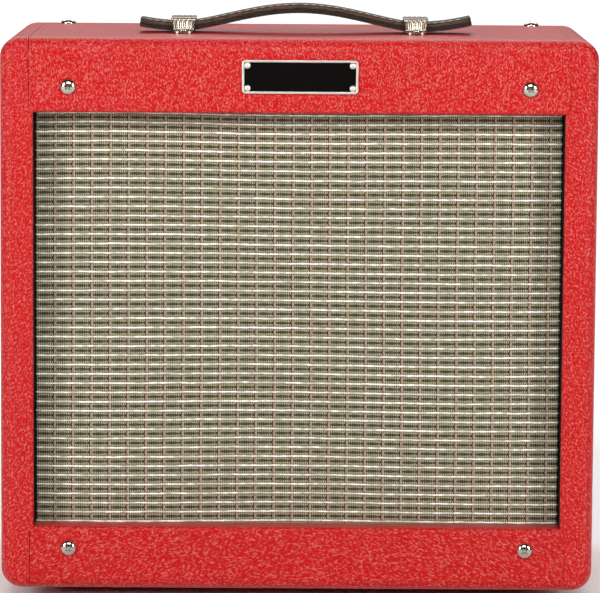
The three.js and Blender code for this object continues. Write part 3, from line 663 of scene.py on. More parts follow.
def cut(bm, point, normal, clear=True):
    """Cuts the mesh by a plane, and closes what is left after the outer side is cleared."""
    geometry = bm.verts[:] + bm.edges[:] + bm.faces[:]
    bmesh.ops.bisect_plane(
        bm, geom=geometry, plane_co=Vector(point) * MM, plane_no=normal, clear_outer=clear,
    )
    if clear:
        bmesh.ops.holes_fill(bm, edges=[e for e in bm.edges if e.is_boundary])


def side_board(name, side):
    mesh = surface(name, *rounded_block(), [VINYL_SIDE, INNER_WOOD])
    bm = bmesh.new()
    bm.from_mesh(mesh)
    cut(bm, (side * inner_x, 0, 0), (-side, 0, 0))
    cut(bm, (0, slope_y, top_z), tuple(PANEL_NORMAL))
    cut(bm, (0, back_y - TURN_IN, 0), (0, 1, 0), clear=False)
    for face in bm.faces:
        at = face.calc_center_median() / MM
        bare = abs(at.x - side * inner_x) < 0.1 and at.y < back_y - TURN_IN
        face.material_index = 1 if bare else 0
    bm.to_mesh(mesh)
    bm.free()
    mesh.set_sharp_from_angle(angle=math.radians(38))
    steady(add(name, mesh, [f"cabinet_{name}"]))

    lip = [(inner_x, front_y), *arc(opening_x + LIP_EDGE, front_y + LIP_EDGE, LIP_EDGE, 270, 180, 8)]
    lip += [(opening_x, board_back), (inner_x, board_back)]
    lip = [(side * x, y) for x, y in lip]
    # the lip's inner faces are painted black as the shade inside the opening's edge
    inside = lambda p, n: int(abs(n.x) > 0.9 and abs(p.x) < opening_x + 0.1)
    reach = (opening_z[0] - OPENING_EDGE, opening_z[1] + OPENING_EDGE)
    shape = surface(f"{name}_lip", *prism(lip, *reach), [VINYL_SIDE, BLACK_PAINT_AS_SHADE], inside)
    steady(add(shape.name, shape))


side_board("left_side", -1)
side_board("right_side", 1)

CLEAT_WOOD = dark_wood("cleat_pine", (0.42, 0.29, 0.16), (0.30, 0.19, 0.10))
for side in (-1, 1):
    for low, high in ((45, 120), (270, 298.5)):
        x = sorted((side * inner_x, side * (inner_x - 15)))
        y0 = span("lower_back_panel")[1][0] - 0.3
        name = f"cleat_{'left' if side < 0 else 'right'}_{'lower' if low < 200 else 'upper'}"
        put(name, block(x, (y0 - 15, y0), (low, high)), CLEAT_WOOD, soft=(0.8,))


SEAMS = (0.1 - hi("cabinet_top").x / MM, hi("cabinet_top").x / MM + 0.1)  # a finer seam at the right
top_low, bottom_high = span("cabinet_top")[2][0], span("cabinet_bottom")[2][1]
front_rim, rolled = front_y + RIM, front_y + OPENING_EDGE
behind = board_back + 0.3
boards = (  # name, CAD node and outline of (y, z) points
    (
        "lower_rail",
        "front_lower_rail",
        arc(front_rim, floor_z + RIM, RIM, 270, 180)
        + arc(rolled, opening_z[0] - OPENING_EDGE, OPENING_EDGE, 180, 90)
        + [(board_back, opening_z[0]), (board_back, floor_z)],
    ),
    (
        "header",
        "front_header",
        arc(rolled, opening_z[1] + OPENING_EDGE, OPENING_EDGE, 270, 180)
        + [(front_y, top_low), (board_back, top_low), (board_back, opening_z[1])],
    ),
    (
        "top_board",
        "cabinet_top",
        arc(front_rim, top_z - RIM, RIM, 180, 90)
        + [(slope_y, top_z), (slope_y, top_low), (front_y, top_low)],
    ),
    (
        "bottom_board",
        "cabinet_bottom",
        arc(back_y - RIM, floor_z + RIM, RIM, 360, 270)
        + [(behind, floor_z), (behind, bottom_high), (back_y, bottom_high)],
    ),
)


def bare(p, n):
    """1 on the faces inside the cabinet, which aren't covered."""
    inwards = -n.z if p.z > 200 else n.z
    return int(inwards > 0.9 and p.y > board_back or n.y > 0.9 and p.y < 0)


for name, node, outline in boards:
    covering = VINYL_RAIL if name == "lower_rail" else VINYL
    mesh = surface(name, *extruded(outline, SEAMS), [covering, INNER_WOOD], bare)
    steady(add(name, mesh, [node]))
# battens like the cleats behind a baffle, painted black so that the gap beside the baffle shows as shade
for side, name in ((-1, "left"), (1, "right")):
    x = sorted((side * (opening_x - 0.1), side * (inner_x - 0.1)))
    put(f"batten_{name}", block(x, (-96.5, -76), (52, 330)), BLACK_PAINT_AS_SHADE, soft=(0.5, 2))
for name in ("lower_back_panel", "upper_back_panel"):
    mesh = surface(
        f"{name}_covered", *block(*span(name)), [VINYL, INNER_WOOD], lambda p, n: int(n.y < -0.9),
    )
    soften(add(mesh.name, mesh, [name]), 1.6, 4)

foot_top = floor_z - 0.3
foot_line = [(0, 2.4), (3.6, 2.4), (3.9, 0.2), (5, 0), (14, 0), (15.6, 0.4), (16.9, 1.6)]
foot_line += [(17, foot_top), (5, foot_top), (5, 16), (0, 16)]
for i in range(1, 5):
    x, y, _ = centre(f"foot_{i}")
    foot_place = facing("up", x, y, 0)
    put(
        f"rubber_foot_{i}", turned(foot_line, 64), RUBBER, [f"foot_{i}"], foot_place,
        soft=(0.5, 2),
    )


# ---------------------------------------------------------------- baffle and its cloth
SPEAKER = centre("speaker_magnet")
SPEAKER.y = lo("speaker_frame").y / MM
HOLE = 114.0
bolts = [centre(f"speaker_bolt_{i}") for i in range(1, 5)]


def pierced_board(x, z, y, middle, radius, sides=96):
    """A board in the XZ plane with a round hole."""
    angles = sorted(
        [2 * math.pi * i / sides for i in range(sides)]
        + [math.atan2(b - middle.z, a - middle.x) % (2 * math.pi) for a in x for b in z]
    )
    points, faces, count = [], [], len(angles)
    for depth in y:
        for a in angles:
            c, s = math.cos(a), math.sin(a)
            reach_x = ((x[1] if c > 0 else x[0]) - middle.x) / c if abs(c) > 1e-9 else 1e9
            reach_z = ((z[1] if s > 0 else z[0]) - middle.z) / s if abs(s) > 1e-9 else 1e9
            out = min(reach_x, reach_z)
            points.append((middle.x + radius * c, depth, middle.z + radius * s))
            points.append((middle.x + out * c, depth, middle.z + out * s))
    for i in range(count):
        a, b = 2 * i, 2 * ((i + 1) % count)
        far = 2 * count
        faces += [(a, b, b + 1, a + 1), (a + far, a + 1 + far, b + 1 + far, b + far)]
        faces += [(a, a + far, b + far, b), (a + 1, b + 1, b + 1 + far, a + 1 + far)]
    return points, faces


bx, by, bz = span("baffle_board")
baffle = pierced_board(bx, bz, by, SPEAKER, HOLE)
put("baffle", baffle, BLACK_WOOD, ["baffle_board"], soft=(0.6, 2, 50))

cloth_x, cloth_y, cloth_z = span("grille_cloth")
EDGE_ROLL = 1.4  # radius of the cloth at the baffle's side edges
FLAT_HALF = cloth_x[1] + 1.5 - EDGE_ROLL  # the covering is fuller than the board that it wraps
WRAP = 5.0  # how far the cloth goes back round the baffle's edge
CLOTH_HALF = FLAT_HALF + EDGE_ROLL * math.pi / 2 + WRAP
CORD_PITCH, THREAD_PITCH = 6.291, 12.336  # up between the pale cords, and across between thread pairs
FIRST_CORD, FIRST_THREAD = 52.19, -176.9
CLOTH_FRONT = cloth_y[0] + 0.15


def wander(s, z):
    """How far the weave strays from straight at a place on the cloth."""
    dx = 0.5 * math.sin(s / 61 + z / 83) + 0.25 * math.sin(z / 23 + s / 140 + 1.1)
    dz = 0.5 * math.sin(s / 57 + z / 97 + 0.6) + 0.3 * math.sin(s / 33 + 2.1) * math.sin(z / 71)
    return dx * 0.6, dz


def on_cloth(s, z, out=0.0):
    """A point at s across and z up, out in front of the cloth, which rolls back at each side."""
    dx, dz = wander(s, z)
    s, z = s + dx, z + dz
    side, past = (1 if s > 0 else -1), abs(s) - FLAT_HALF
    if past <= 0:
        return (s, CLOTH_FRONT - out, z)
    turn = min(past / EDGE_ROLL, math.pi / 2)
    reach = EDGE_ROLL + out
    straight = max(0.0, past - EDGE_ROLL * math.pi / 2)
    return (
        side * (FLAT_HALF + reach * math.sin(turn)),
        CLOTH_FRONT + EDGE_ROLL - reach * math.cos(turn) + straight,
        z,
    )


def cloth_sheet():
    edge_steps = [FLAT_HALF + EDGE_ROLL * math.pi / 2 * i / 5 for i in range(6)]
    inner = [FLAT_HALF * (2 * i / 90 - 1) for i in range(1, 90)]
    across = [-CLOTH_HALF] + [-v for v in reversed(edge_steps)] + inner + edge_steps + [CLOTH_HALF]
    up = [cloth_z[0] + 1 + (cloth_z[1] - cloth_z[0] - 2) * i / 84 for i in range(85)]
    points = [on_cloth(s, z) for z in up for s in across]
    uv = [((s - FIRST_THREAD) / THREAD_PITCH, (z - FIRST_CORD) / CORD_PITCH) for z in up for s in across]
    n = len(across)
    faces = [
        (r * n + c, r * n + c + 1, (r + 1) * n + c + 1, (r + 1) * n + c)
        for r in range(len(up) - 1)
        for c in range(n - 1)
    ]
    return surface("grille_sheet", points, faces, [WEAVE], uv=uv)


grille = add("grille_sheet", cloth_sheet(), ["grille_cloth"])


def cloth_cords():
    """The pale cords that run across, over the other threads."""
    rng = random.Random(11)
    shapes = []
    rows = int((opening_z[1] - 0.3 - FIRST_CORD) / CORD_PITCH) + 1
    for row in range(rows):
        z = FIRST_CORD + row * CORD_PITCH
        phase, fat = rng.uniform(0, 6), rng.uniform(0.92, 1.06)
        points, faces, sides, steps = [], [], 6, 300
        sway = 0.0
        for i in range(steps + 1):
            s = -(CLOTH_HALF - WRAP) + 2 * (CLOTH_HALF - WRAP) * i / steps
            sway = 0.9 * sway + rng.uniform(-0.07, 0.07)
            turn = (s - FIRST_THREAD) * 2 * math.pi / THREAD_PITCH
            over = 0.5 + 0.5 * math.cos(turn + math.pi * (row % 2))
            swell = fat * (0.99 + 0.14 * math.sin(s * 0.9 + phase) + rng.uniform(-0.06, 0.06))
            for k in range(sides):
                a = math.pi * k / (sides - 1)
                high = 0.53 * swell * math.cos(a) + sway
                points.append(on_cloth(s, z + high, 0.06 + (0.3 + 0.1 * over) * swell * math.sin(a)))
        for i in range(steps):
            for k in range(sides - 1):
                a = i * sides + k
                faces.append((a, a + 1, a + sides + 1, a + sides))
        shapes.append((points, faces))
    return surface("grille_cords", *joined(*shapes), [CORD_YARN])


def cord_yarn():
    """Pale rayon cord with a slight sheen, its brightness changing along it."""
    m = Material("cord_yarn", (0.8, 0.79, 0.74), roughness=0.5, specular_ior_level=0.4)
    twist = m.noise(m.place((1.0, 1.0, 2.2)), 900.0, 2.0)
    patch = m.noise(m.place((0.5, 1.0, 1.0)), 210.0, 2.0)
    light = m.mix(patch.step(0.36, 0.6), (0.52, 0.50, 0.44), (0.96, 0.95, 0.92))
    m.set("Base Color", m.mix(twist.step(0.25, 0.6), (0.46, 0.44, 0.38), light))
    m.bump(twist, 0.00012)
    return m.data


CORD_YARN = cord_yarn()
cords = add("grille_cords", cloth_cords())
2 * CLOTH_HALF * MM
(cloth_z[1] - cloth_z[0] - 2) * MM


# ---------------------------------------------------------------- screws, nameplate and handle
def cross_head(name, radius, dome):
    """A domed screw head seated at z = 0, with a cross recess."""
    profile = [(0.001, dome)]
    rings = 34
    for i in range(1, rings + 1):
        r = radius * i / rings * 0.96
        profile.append((r, dome * math.sqrt(max(0.0, 1 - (r / radius) ** 2)) ** 0.9))
    profile += [(radius * 0.985, dome * 0.2), (radius, dome * 0.1), (radius, 0), (0, 0)]
    arm, half, deep, taper = radius * 0.44, radius * 0.085, dome * 0.5, radius * 0.05

    def dig(r, h, a):
        if h < dome * 0.3:
            return r, h
        x, y = abs(r * math.cos(a)), abs(r * math.sin(a))
        within = max(
            min(arm - x, half + taper * (1 - x / arm) - y),
            min(arm - y, half + taper * (1 - y / arm) - x),
        )
        return r, h - deep * max(0.0, min(1.0, within / taper))

    return surface(name, *turned(profile, 96, dig), [NICKEL])


def screws(name, nodes, radius, dome, direction, seat):
    mesh = cross_head(name, radius, dome)
    rng = random.Random(len(name))
    for i, node in enumerate(nodes):
        at = centre(node)
        at[1 if direction in ("front", "back") else 2] = seat
        place = facing(direction, *at) @ Matrix.Rotation(rng.uniform(0.5, 1.1), 4, "Z")
        add(f"{name}_{i + 1}", mesh, [node], place=place)


screws("front_screw_head", [f"front_screw_{i}" for i in range(1, 5)], 5.35, 3.1, "front", front_y)
panel_back = span("lower_back_panel")[1][1]
screws("back_screw_head", [f"back_screw_{i}" for i in range(1, 5)], 4.4, 2.6, "back", panel_back)
screws("chassis_screw_head", ["chassis_screw_left", "chassis_screw_right"], 5.3, 3.5, "up", top_z)
bracket_screws = [f"bracket_screw_{side}_{end}" for side in ("left", "right") for end in ("front", "rear")]
screws("bracket_screw_head", bracket_screws, 3.6, 2.0, "up", hi(bracket_screws[0]).z / MM - 2.0)

px, py, pz = span("nameplate")
plate_x, plate_z = (px[1] - px[0]) / 2, (pz[1] - pz[0]) / 2
plate_middle = facing("front", sum(px) / 2, front_y, sum(pz) / 2)
PLATE_RIM, PLATE_THICK = 1.7, 1.9


def framed(outer, inner, low, high):
    """A flat ring between two outlines of as many points, from one height to another."""
    n = len(outer)
    points = [(x, y, z) for z in (low, high) for ring in (outer, inner) for x, y in ring]
    faces = []
    for i in range(n):
        j = (i + 1) % n
        faces += [(i, j, 2 * n + j, 2 * n + i), (n + i, 3 * n + i, 3 * n + j, n + j)]
        faces += [(2 * n + i, 2 * n + j, 3 * n + j, 3 * n + i), (i, n + i, n + j, j)]
    return points, faces


outer = rounded_rectangle(plate_x, plate_z, 2.6)
inner = rounded_rectangle(plate_x - PLATE_RIM, plate_z - PLATE_RIM, 2.6 - PLATE_RIM)
rim = framed(outer, inner, 0, PLATE_THICK)
put("nameplate_rim", rim, SATIN_NICKEL, ["nameplate"], plate_middle, soft=(0.6, 4))
field = prism(rounded_rectangle(plate_x - 0.4, plate_z - 0.4, 2.2), 0, PLATE_THICK - 0.7)
field = surface("nameplate_field", *field, [FIELD], smooth=False)
add("nameplate_field", field, place=plate_middle)
rivet = [(2.25 * math.sin(a), 1.5 * math.cos(a)) for a in (0, 0.3, 0.6, 0.9, 1.2, 1.45)]
rivet_mesh = surface("nameplate_rivet", *turned(rivet + [(2.25, 0), (0, 0)], 40), [SATIN_NICKEL])
for i, (sx, sz) in enumerate(((-1, -1), (1, -1), (-1, 1), (1, 1))):
    shift = Matrix.Translation(Vector((sx * (plate_x - 3.8), sz * (plate_z - 3.8), PLATE_THICK - 0.7)) * MM)
    add(f"nameplate_rivet_{i + 1}", rivet_mesh, place=plate_middle @ shift)

BRACKET_X = (centre("handle_bracket_right") - centre("handle_bracket_left")).x / 2
HANDLE_Y = centre("handle_bracket_left").y
BASE_Z, BRIDGE_Z = span("handle_bracket_left")[2]
BRIDGE_HALF, FOOT_HALF, FOOT_REACH = 8.5, 6.9, 28.0


def bracket():
    """A pressed nickel bridge over the strap, with a rounded foot at each end."""
    leg, bend, metal = 16.6, 1.7, 1.5
    half = []  # (y, z, half width, strength of the pressed ribs), from the middle to the foot's end
    half.append((0, BRIDGE_Z, BRIDGE_HALF, 0.3))
    half.append((leg - 5, BRIDGE_Z, BRIDGE_HALF, 0.3))
    for i in range(7):
        a = math.pi / 2 * i / 6
        y, z = leg - bend + bend * math.sin(a), BRIDGE_Z - bend + bend * math.cos(a)
        half.append((y, z, BRIDGE_HALF - 0.1 * i, 0.5))
    drop = BRIDGE_Z - bend - (BASE_Z + metal + 1.2)
    for i in range(1, 7):
        z = BRIDGE_Z - bend - drop * i / 6
        half.append((leg + 0.12 * i, z, BRIDGE_HALF - 0.6 - (BRIDGE_HALF - 0.6 - FOOT_HALF) * i / 6, 1.0))
    for i in range(1, 5):
        a = math.pi / 2 * i / 4
        y, z = leg + 0.75 + 1.2 * (1 - math.cos(a)), BASE_Z + metal + 1.2 - 1.2 * math.sin(a)
        half.append((y, z, FOOT_HALF, 0.8 - 0.15 * i))
    for i in range(1, 13):
        y = leg + 2 + (FOOT_REACH - leg - 2) * i / 12
        past = max(0.0, y - (FOOT_REACH - 4.5))
        half.append((y, BASE_Z + metal, FOOT_HALF - 4.5 + math.sqrt(max(0.0, 4.5**2 - past**2)), 0.0))
    line = [(-y, z, w, r) for y, z, w, r in reversed(half[1:])] + half
    columns, points, faces = 50, [], []
    for layer in (0.0, metal):
        for i, (y, z, w, ribs) in enumerate(line):
            before, after = line[max(i - 1, 0)], line[min(i + 1, len(line) - 1)]
            ty, tz = after[0] - before[0], after[1] - before[1]
            size = math.hypot(ty, tz)
            ny, nz = -tz / size, ty / size
            for k in range(columns + 1):
                t = 2 * k / columns - 1
                rib = 0.4 * ribs * (0.5 + 0.5 * math.cos(5 * math.pi * t)) * (1 - t**6)
                out = rib - layer
                points.append((w * t, y + ny * out, max(BASE_Z + 0.02, z + nz * out)))
    rows, across = len(line), columns + 1
    sheet = rows * across
    for r in range(rows - 1):
        for c in range(columns):
            a = r * across + c
            faces += [
                (a, a + 1, a + across + 1, a + across),
                (a + sheet, a + across + sheet, a + across + 1 + sheet, a + 1 + sheet),
            ]
        for c in (0, columns):
            a = r * across + c
            faces.append((a, a + across, a + across + sheet, a + sheet))
    for r in (0, rows - 1):
        for c in range(columns):
            a = r * across + c
            faces.append((a, a + 1, a + 1 + sheet, a + sheet))
    return points, faces


bracket_mesh = surface("bracket", *bracket(), [BRACKET_NICKEL_PAINTED_REFLECTIONS])
for side, name in ((-1, "left"), (1, "right")):
    place = Matrix.Translation(Vector((side * BRACKET_X, HANDLE_Y, 0)) * MM)
    shaped = add(f"bracket_{name}", bracket_mesh, [f"handle_bracket_{name}"], place=place)
    soften(shaped, 0.3, 2, 60)

# ---------------------------------------------------------------- the strap
STRAP_REST, STRAP_RISE, STRAP_BOW, TAIL_LIFT = 385.2, 12.5, 1.45, 0.00325
STRAP_HALF_WIDTH, STRAP_HALF_THICK = 14.0, 3.0


def strap_height(x):
    across = abs(x) / BRACKET_X
    if across < 1:
        return STRAP_REST + STRAP_RISE * max(0.0, math.cos(across * math.pi / 2)) ** STRAP_BOW
    return STRAP_REST + TAIL_LIFT * (abs(x) - BRACKET_X) ** 2


def strap_frame(x):
    """The strap's middle point at x and its upward normal."""
    slope = strap_height(x + 0.5) - strap_height(x - 0.5)
    normal = Vector((-slope, 0, 1)).normalized()
    return Vector((x, HANDLE_Y, strap_height(x))), normal


def strap_section():
    """(y, height, v) round the strap's section: v is 0 at its underside and 1 at its top."""
    w, t = STRAP_HALF_WIDTH, STRAP_HALF_THICK
    half = [
        (0, -t), (w - 1.2, -t), (w - 0.35, -t + 0.3), (w - 0.05, -t + 0.9), (w - 0.12, 0.05),
        (w - 0.5, 0.25),
    ]
    half += [
        (w - 0.5, 0.4), (w - 0.1, 0.6), (w - 0.05, t - 0.8), (w - 0.4, t - 0.25), (w - 1.3, t),
        (w - 5, t - 0.1), (0, t),
    ]
    right = [(y, h, (h + t) / (2 * t)) for y, h in half]
    return right + [(-y, h, v) for y, h, v in reversed(right[1:-1])]


def strap_half(name, side, end):
    rng = random.Random(5 if side < 0 else 9)
    section, steps = strap_section(), 110
    n = len(section)
    points, faces, uv = [], [], []
    for i in range(steps + 1):
        x = side * end * i / steps
        at, normal = strap_frame(x)
        last = i == steps
        for y, h, v in section:
            ragged = rng.uniform(-0.5, 0.5) if last else 0.0
            rough = rng.uniform(-0.07, 0.07) if abs(y) > STRAP_HALF_WIDTH - 1 else 0.0
            p = at + normal * (h + rough) + Vector((side * ragged, y + rough, 0))
            points.append(tuple(p))
            uv.append((i / steps, v))
    for i in range(steps):
        for k in range(n):
            j = (k + 1) % n
            faces.append((i * n + k, i * n + j, (i + 1) * n + j, (i + 1) * n + k))
    faces.append(tuple(range(steps * n, steps * n + n)))

    body_faces = len(faces)
    pitch, stitch = 5.2, 3.9
    count = int((end - 4) / pitch)
    for edge in (-1, 1):
        for s in range(count):
            start = 2 + s * pitch
            base = len(points)
            for a in range(7):
                x = side * (start + stitch * a / 6)
                at, normal = strap_frame(x)
                high = 0.34 * math.sin(math.pi * a / 6) ** 0.5 + 0.0
                for k in range(5):
                    b = math.pi * k / 4
                    y = edge * (STRAP_HALF_WIDTH - 1.9) + 0.42 * math.cos(b)
                    p = at + normal * (STRAP_HALF_THICK - 0.1 + high * math.sin(b)) + Vector((0, y, 0))
                    points.append(tuple(p))
                    uv.append((0, 1))
            for a in range(6):
                for k in range(4):
                    q = base + a * 5 + k
                    faces.append((q, q + 1, q + 6, q + 5))
    mesh = surface(name, points, faces, [STRAP_TOP, STRAP_EDGE, STITCH], uv=uv)
    for index, polygon in enumerate(mesh.polygons):
        if index >= body_faces:
            polygon.material_index = 2
        elif abs(polygon.normal.y) > 0.45 or index == body_faces - 1:
            polygon.material_index = 1
    piece = bpy.data.objects.new(name, mesh)
    bpy.context.scene.collection.objects.link(piece)
    tail = "tail_left" if side < 0 else "tail_right"
    points_of = [strap_frame(side * x)[0] * MM for x in (20, BRACKET_X)]
    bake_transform(piece)
    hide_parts("strap_grip", f"strap_{tail}")


strap_half("strap_left", -1, -lo("strap_tail_left").x / MM)
strap_half("strap_right", 1, hi("strap_tail_right").x / MM)

# ---------------------------------------------------------------- loudspeaker
SPEAKER_PLACE = facing("back", SPEAKER.x, SPEAKER.y, SPEAKER.z)
SPOKES, WINDOW = 6, 14.5  # degrees to each side of a window's middle
SECTORS = 120


def in_window(i):
    a = math.degrees(2 * math.pi * (i + 0.5) / SECTORS) % (360 / SPOKES)
    return abs(a - 180 / SPOKES) < WINDOW


basket_line = [
    (128.3, 1.4), (116.2, 1.5), (116.2, 4.3), (104.6, 6.2), (100, 9.8), (67, 36), (57, 44),
    (47.4, 46.2), (47.4, 59.4), (24, 59.4),
]
basket_shape = turned(basket_line, SECTORS, missing=lambda ring, i: ring == 4 and in_window(i))
basket = put("basket", basket_shape, BLACK_STEEL, ["speaker_frame"], SPEAKER_PLACE)
thicken(basket, 1.2)
soften(basket, 0.35, 2, 50)

tx0, tx1, tz0, tz1 = -97, -80, 181 - SPEAKER.z, 201 - SPEAKER.z
put(
    "terminal_board", block((tx0, tx1), (tz0, tz1), (22.2, 24)), BRASS_BOARD,
    place=SPEAKER_PLACE, soft=(0.3, 2),
)
lugs = [block((tx0 + 3, tx1 - 3), (y - 1.6, y + 1.6), (24, 24.8)) for y in (tz0 + 5, tz1 - 5)]
lugs += [rod(1.5, 24, 26.2, tx0 + 8, y, 20) for y in (tz0 + 5, tz1 - 5)]
put("terminal_lugs", joined(*lugs), BRASS, place=SPEAKER_PLACE)

gasket = [(128, -0.05), (128, 1.2), (115.8, 1.2), (115.8, -0.05)]
put("speaker_gasket", turned(gasket, 96), CORK, place=SPEAKER_PLACE)

magnet_parts = (
    (
        "magnet_rear_plate",
        [(0, 82.4), (49.4, 82.4), (49.9, 83), (49.9, 83.6), (44, 84), (44, 87.4), (43, 88.2), (0, 88.2)],
        ZINC,
    ),
    (
        "magnet_ring",
        [(21.5, 66.6), (49.2, 66.6), (49.9, 67.4), (49.9, 81.4), (49.2, 82.2), (21.5, 82.2)],
        FERRITE,
    ),
    ("magnet_front_plate", [(20.8, 60.2), (44, 60.2), (44.8, 61), (44.8, 66.4), (20.8, 66.4)], ZINC),
    ("pole_piece", [(0, 61.5), (16.5, 61.5), (17.6, 62.5), (17.6, 82.4), (0, 82.4)], ZINC),
)
for name, profile, material in magnet_parts:
    nodes = ["speaker_magnet"] if name == "magnet_ring" else []
    put(name, turned(profile, 96), material, nodes, SPEAKER_PLACE)

cone_line = [(27.5 + (101 - 27.5) * i / 60, 38.2 - (38.2 - 3.0) * i / 60) for i in range(61)]


def ribbing(r):
    """Height of the ribs pressed in the cone, at a radius."""
    return 0.55 * math.exp(-(((r - 8) % 13 - 6.5) ** 2) / 1.6) if 34 < r < 96 else 0


ribbed = [(r, h + ribbing(r)) for r, h in cone_line]
cap_line = [(28.4 * math.sin(a), 47.2 - 18.0 * math.cos(a)) for a in (i * 0.083 for i in range(13))]
cone_shape = joined(turned(cap_line, 96), turned(ribbed, 96), turned([(19.2, 43), (19.2, 73.6)], 64))
cone = put("paper_cone", cone_shape, PAPER, ["speaker_cone"], SPEAKER_PLACE, body="cone")
thicken(cone, 0.6)

roll = [
    (101 + 12.6 * i / 24, 2.4 + 1.3 * math.cos(2 * math.pi * i / 12) * (1 if 1 < i < 23 else 0.2))
    for i in range(25)
]
surround = put("surround", turned(roll, 96), PAPER, ["speaker_surround"], SPEAKER_PLACE)
pleats = [(19.9 + 26.1 * i / 48, 51.3 + 1.1 * math.sin(2 * math.pi * i / 8)) for i in range(49)]
spider = put("spider", turned(pleats, 96), SPIDER_CLOTH, ["speaker_spider"], SPEAKER_PLACE)
for pleated in (surround, spider):
    thicken(pleated, 0.4)

for i, at in enumerate(bolts):
    x, y = at.x - SPEAKER.x, SPEAKER.z - at.z
    nut = joined(rod(4.8, 1.9, 5.6, x, y, 6, i), rod(2.2, 1.9, 8, x, y, 20), rod(6.0, 1.5, 1.9, x, y, 28))
    mesh = surface(f"speaker_nut_{i + 1}", *nut, [ZINC])
    soften(add(mesh.name, mesh, [f"speaker_bolt_{i + 1}"], place=SPEAKER_PLACE), 0.25, 2, 50)

# ---------------------------------------------------------------- chassis and controls
kept_nodes = {"chassis": PANEL, "volume_pot": ZINC, "tone_pot": ZINC, "power_switch_body": ZINC}
for node, material in kept_nodes.items():
    kept = frame["nodes"][node]
    kept.data.materials.clear()
    kept.data.materials.append(material)
    soften(kept, 0.35, 2, 40)

CONTROL_X = {
    "jack": centre("input_jack").x,
    "volume": centre("volume_knob").x,
    "tone": centre("tone_knob").x,
    "lamp": centre("pilot_lamp_bezel").x,
    "toggle": centre("power_switch_body").x,
}


def marking(name, text, control, x, y, size):
    """A numeral printed on the panel, x and y from a control as read from behind, in millimetres."""
    curve = bpy.data.curves.new(name, "FONT")
    curve.body, curve.size = text, size * MM
    curve.align_x, curve.align_y = "CENTER", "CENTER"
    curve.extrude = 0.00002
    curve.materials.append(MARKING)
    ink = bpy.data.objects.new(name, curve)
    bpy.context.scene.collection.objects.link(ink)
    shift = Matrix.Translation((x * MM, y * MM, 0.00008))
    ink.matrix_world = on_panel(control) @ Matrix.Rotation(math.pi, 4, "Z") @ shift
    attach(ink, "cabinet")


DIAL_SWEEP = 300.0  # degrees from the first number to the last
for dial in ("volume", "tone"):
    ticks = []
    for number in range(1, 13):
        a = math.radians(-150 + DIAL_SWEEP * (number - 1) / 11)
        x, y = 17.2 * math.sin(a), 17.2 * math.cos(a)
        marking(f"{dial}_number_{number}", str(number), CONTROL_X[dial], x, y, 4.6)
        c, s = math.sin(a), math.cos(a)
        corners = ((12.2, 0.35), (14.0, 0.35), (14.0, -0.35), (12.2, -0.35))
        tick = [(r * c - w * s, r * s + w * c) for r, w in corners]
        ticks.append(prism(tick, 0.02, 0.1))
    place = on_panel(CONTROL_X[dial]) @ Matrix.Rotation(math.pi, 4, "Z")
    put(f"{dial}_ticks", joined(*ticks), MARKING, place=place)


def knob():
    """A fluted skirted knob with a spun metal cap and a pointer line on its skirt."""
    def flute(r, h, a):
        if 6.5 < h < 17.6 and r > 7:
            return r * (1 - 0.045 * (0.5 + 0.5 * math.cos(20 * a)) ** 2), h
        return r, h

    profile = [
        (3.3, KNOB_SEAT), (10.7, KNOB_SEAT), (11, 3.5), (11, 4.7), (10.6, 5.1), (9.1, 6.2),
        (8.8, 7), (8.6, 9.5), (8.45, 12), (8.3, 15), (8.2, 17), (7.6, 18), (6.8, 18.35),
        (5.6, 18.1), (3.3, 18.1),
    ]
    return turned(profile, 160, flute)


knob_mesh = surface("knob", *knob(), [PLASTIC])
knob_cap_line = [(0, 18.3), (5.5, 18.3), (5.55, 18.2), (5.55, 17), (0, 17)]
cap_mesh = surface("knob_cap", *turned(knob_cap_line, 64), [CHROME])
pointer = joined(
    block((-0.35, 0.35), (5.8, 7.6), (18.0, 18.42)), block((-0.4, 0.4), (9.3, 10.8), (4.0, 5.25)),
)
pointer_mesh = surface("knob_pointer", *pointer, [POINTER])
for dial in ("volume", "tone"):
    turn = Matrix.Rotation(math.pi + math.radians(150), 4, "Z")
    place = on_panel(CONTROL_X[dial]) @ turn
    add(f"{dial}_knob_body", knob_mesh, [f"{dial}_knob"], f"{dial}_dial", place)
    add(f"{dial}_knob_cap", cap_mesh, (), f"{dial}_dial", place)
    add(f"{dial}_knob_pointer", pointer_mesh, (), f"{dial}_dial", place)

lever_line = [
    (0, -2.8), (1.6, -2.4), (2.6, -1.1), (2.75, 0), (2.3, 1.5), (1.6, 2.6), (1.45, 4), (1.7, 8),
    (2.3, 14), (2.7, 17), (2.5, 18.8), (1.6, 19.8), (0, 20),
]
lever_tilt = math.radians(12)
lever_place = on_panel(CONTROL_X["toggle"]) @ Matrix.Translation((0, 0, 0.001))
lever_place = lever_place @ Matrix.Rotation(lever_tilt, 4, "X")
put(
    "toggle_lever", turned(lever_line, 48), CHROME, ["power_switch_lever"], lever_place,
    body="toggle",
)

bezel_line = [
    (5.6, 2.9), (5.6, -1), (4.6, -1), (4.6, -16), (6.1, -16), (6.1, 0.3), (8.5, 0.3), (8.6, 0.6),
    (8.5, 1.5), (7.6, 2.4), (6.6, 2.95),
]
lamp_place = on_panel(CONTROL_X["lamp"])
put("lamp_bezel", turned(bezel_line, 72), CHROME, ["pilot_lamp_bezel"], lamp_place)

jewel = [(0, -0.7), (5.35, -0.7), (5.35, 2.6), (4.9, 4.2), (3.4, 6.0), (1.6, 7.0), (0, 7.3)]
put("lamp_jewel", turned(jewel, 12), LENS, ["pilot_lamp_lens"], lamp_place, soft=(0.25, 2, 20))

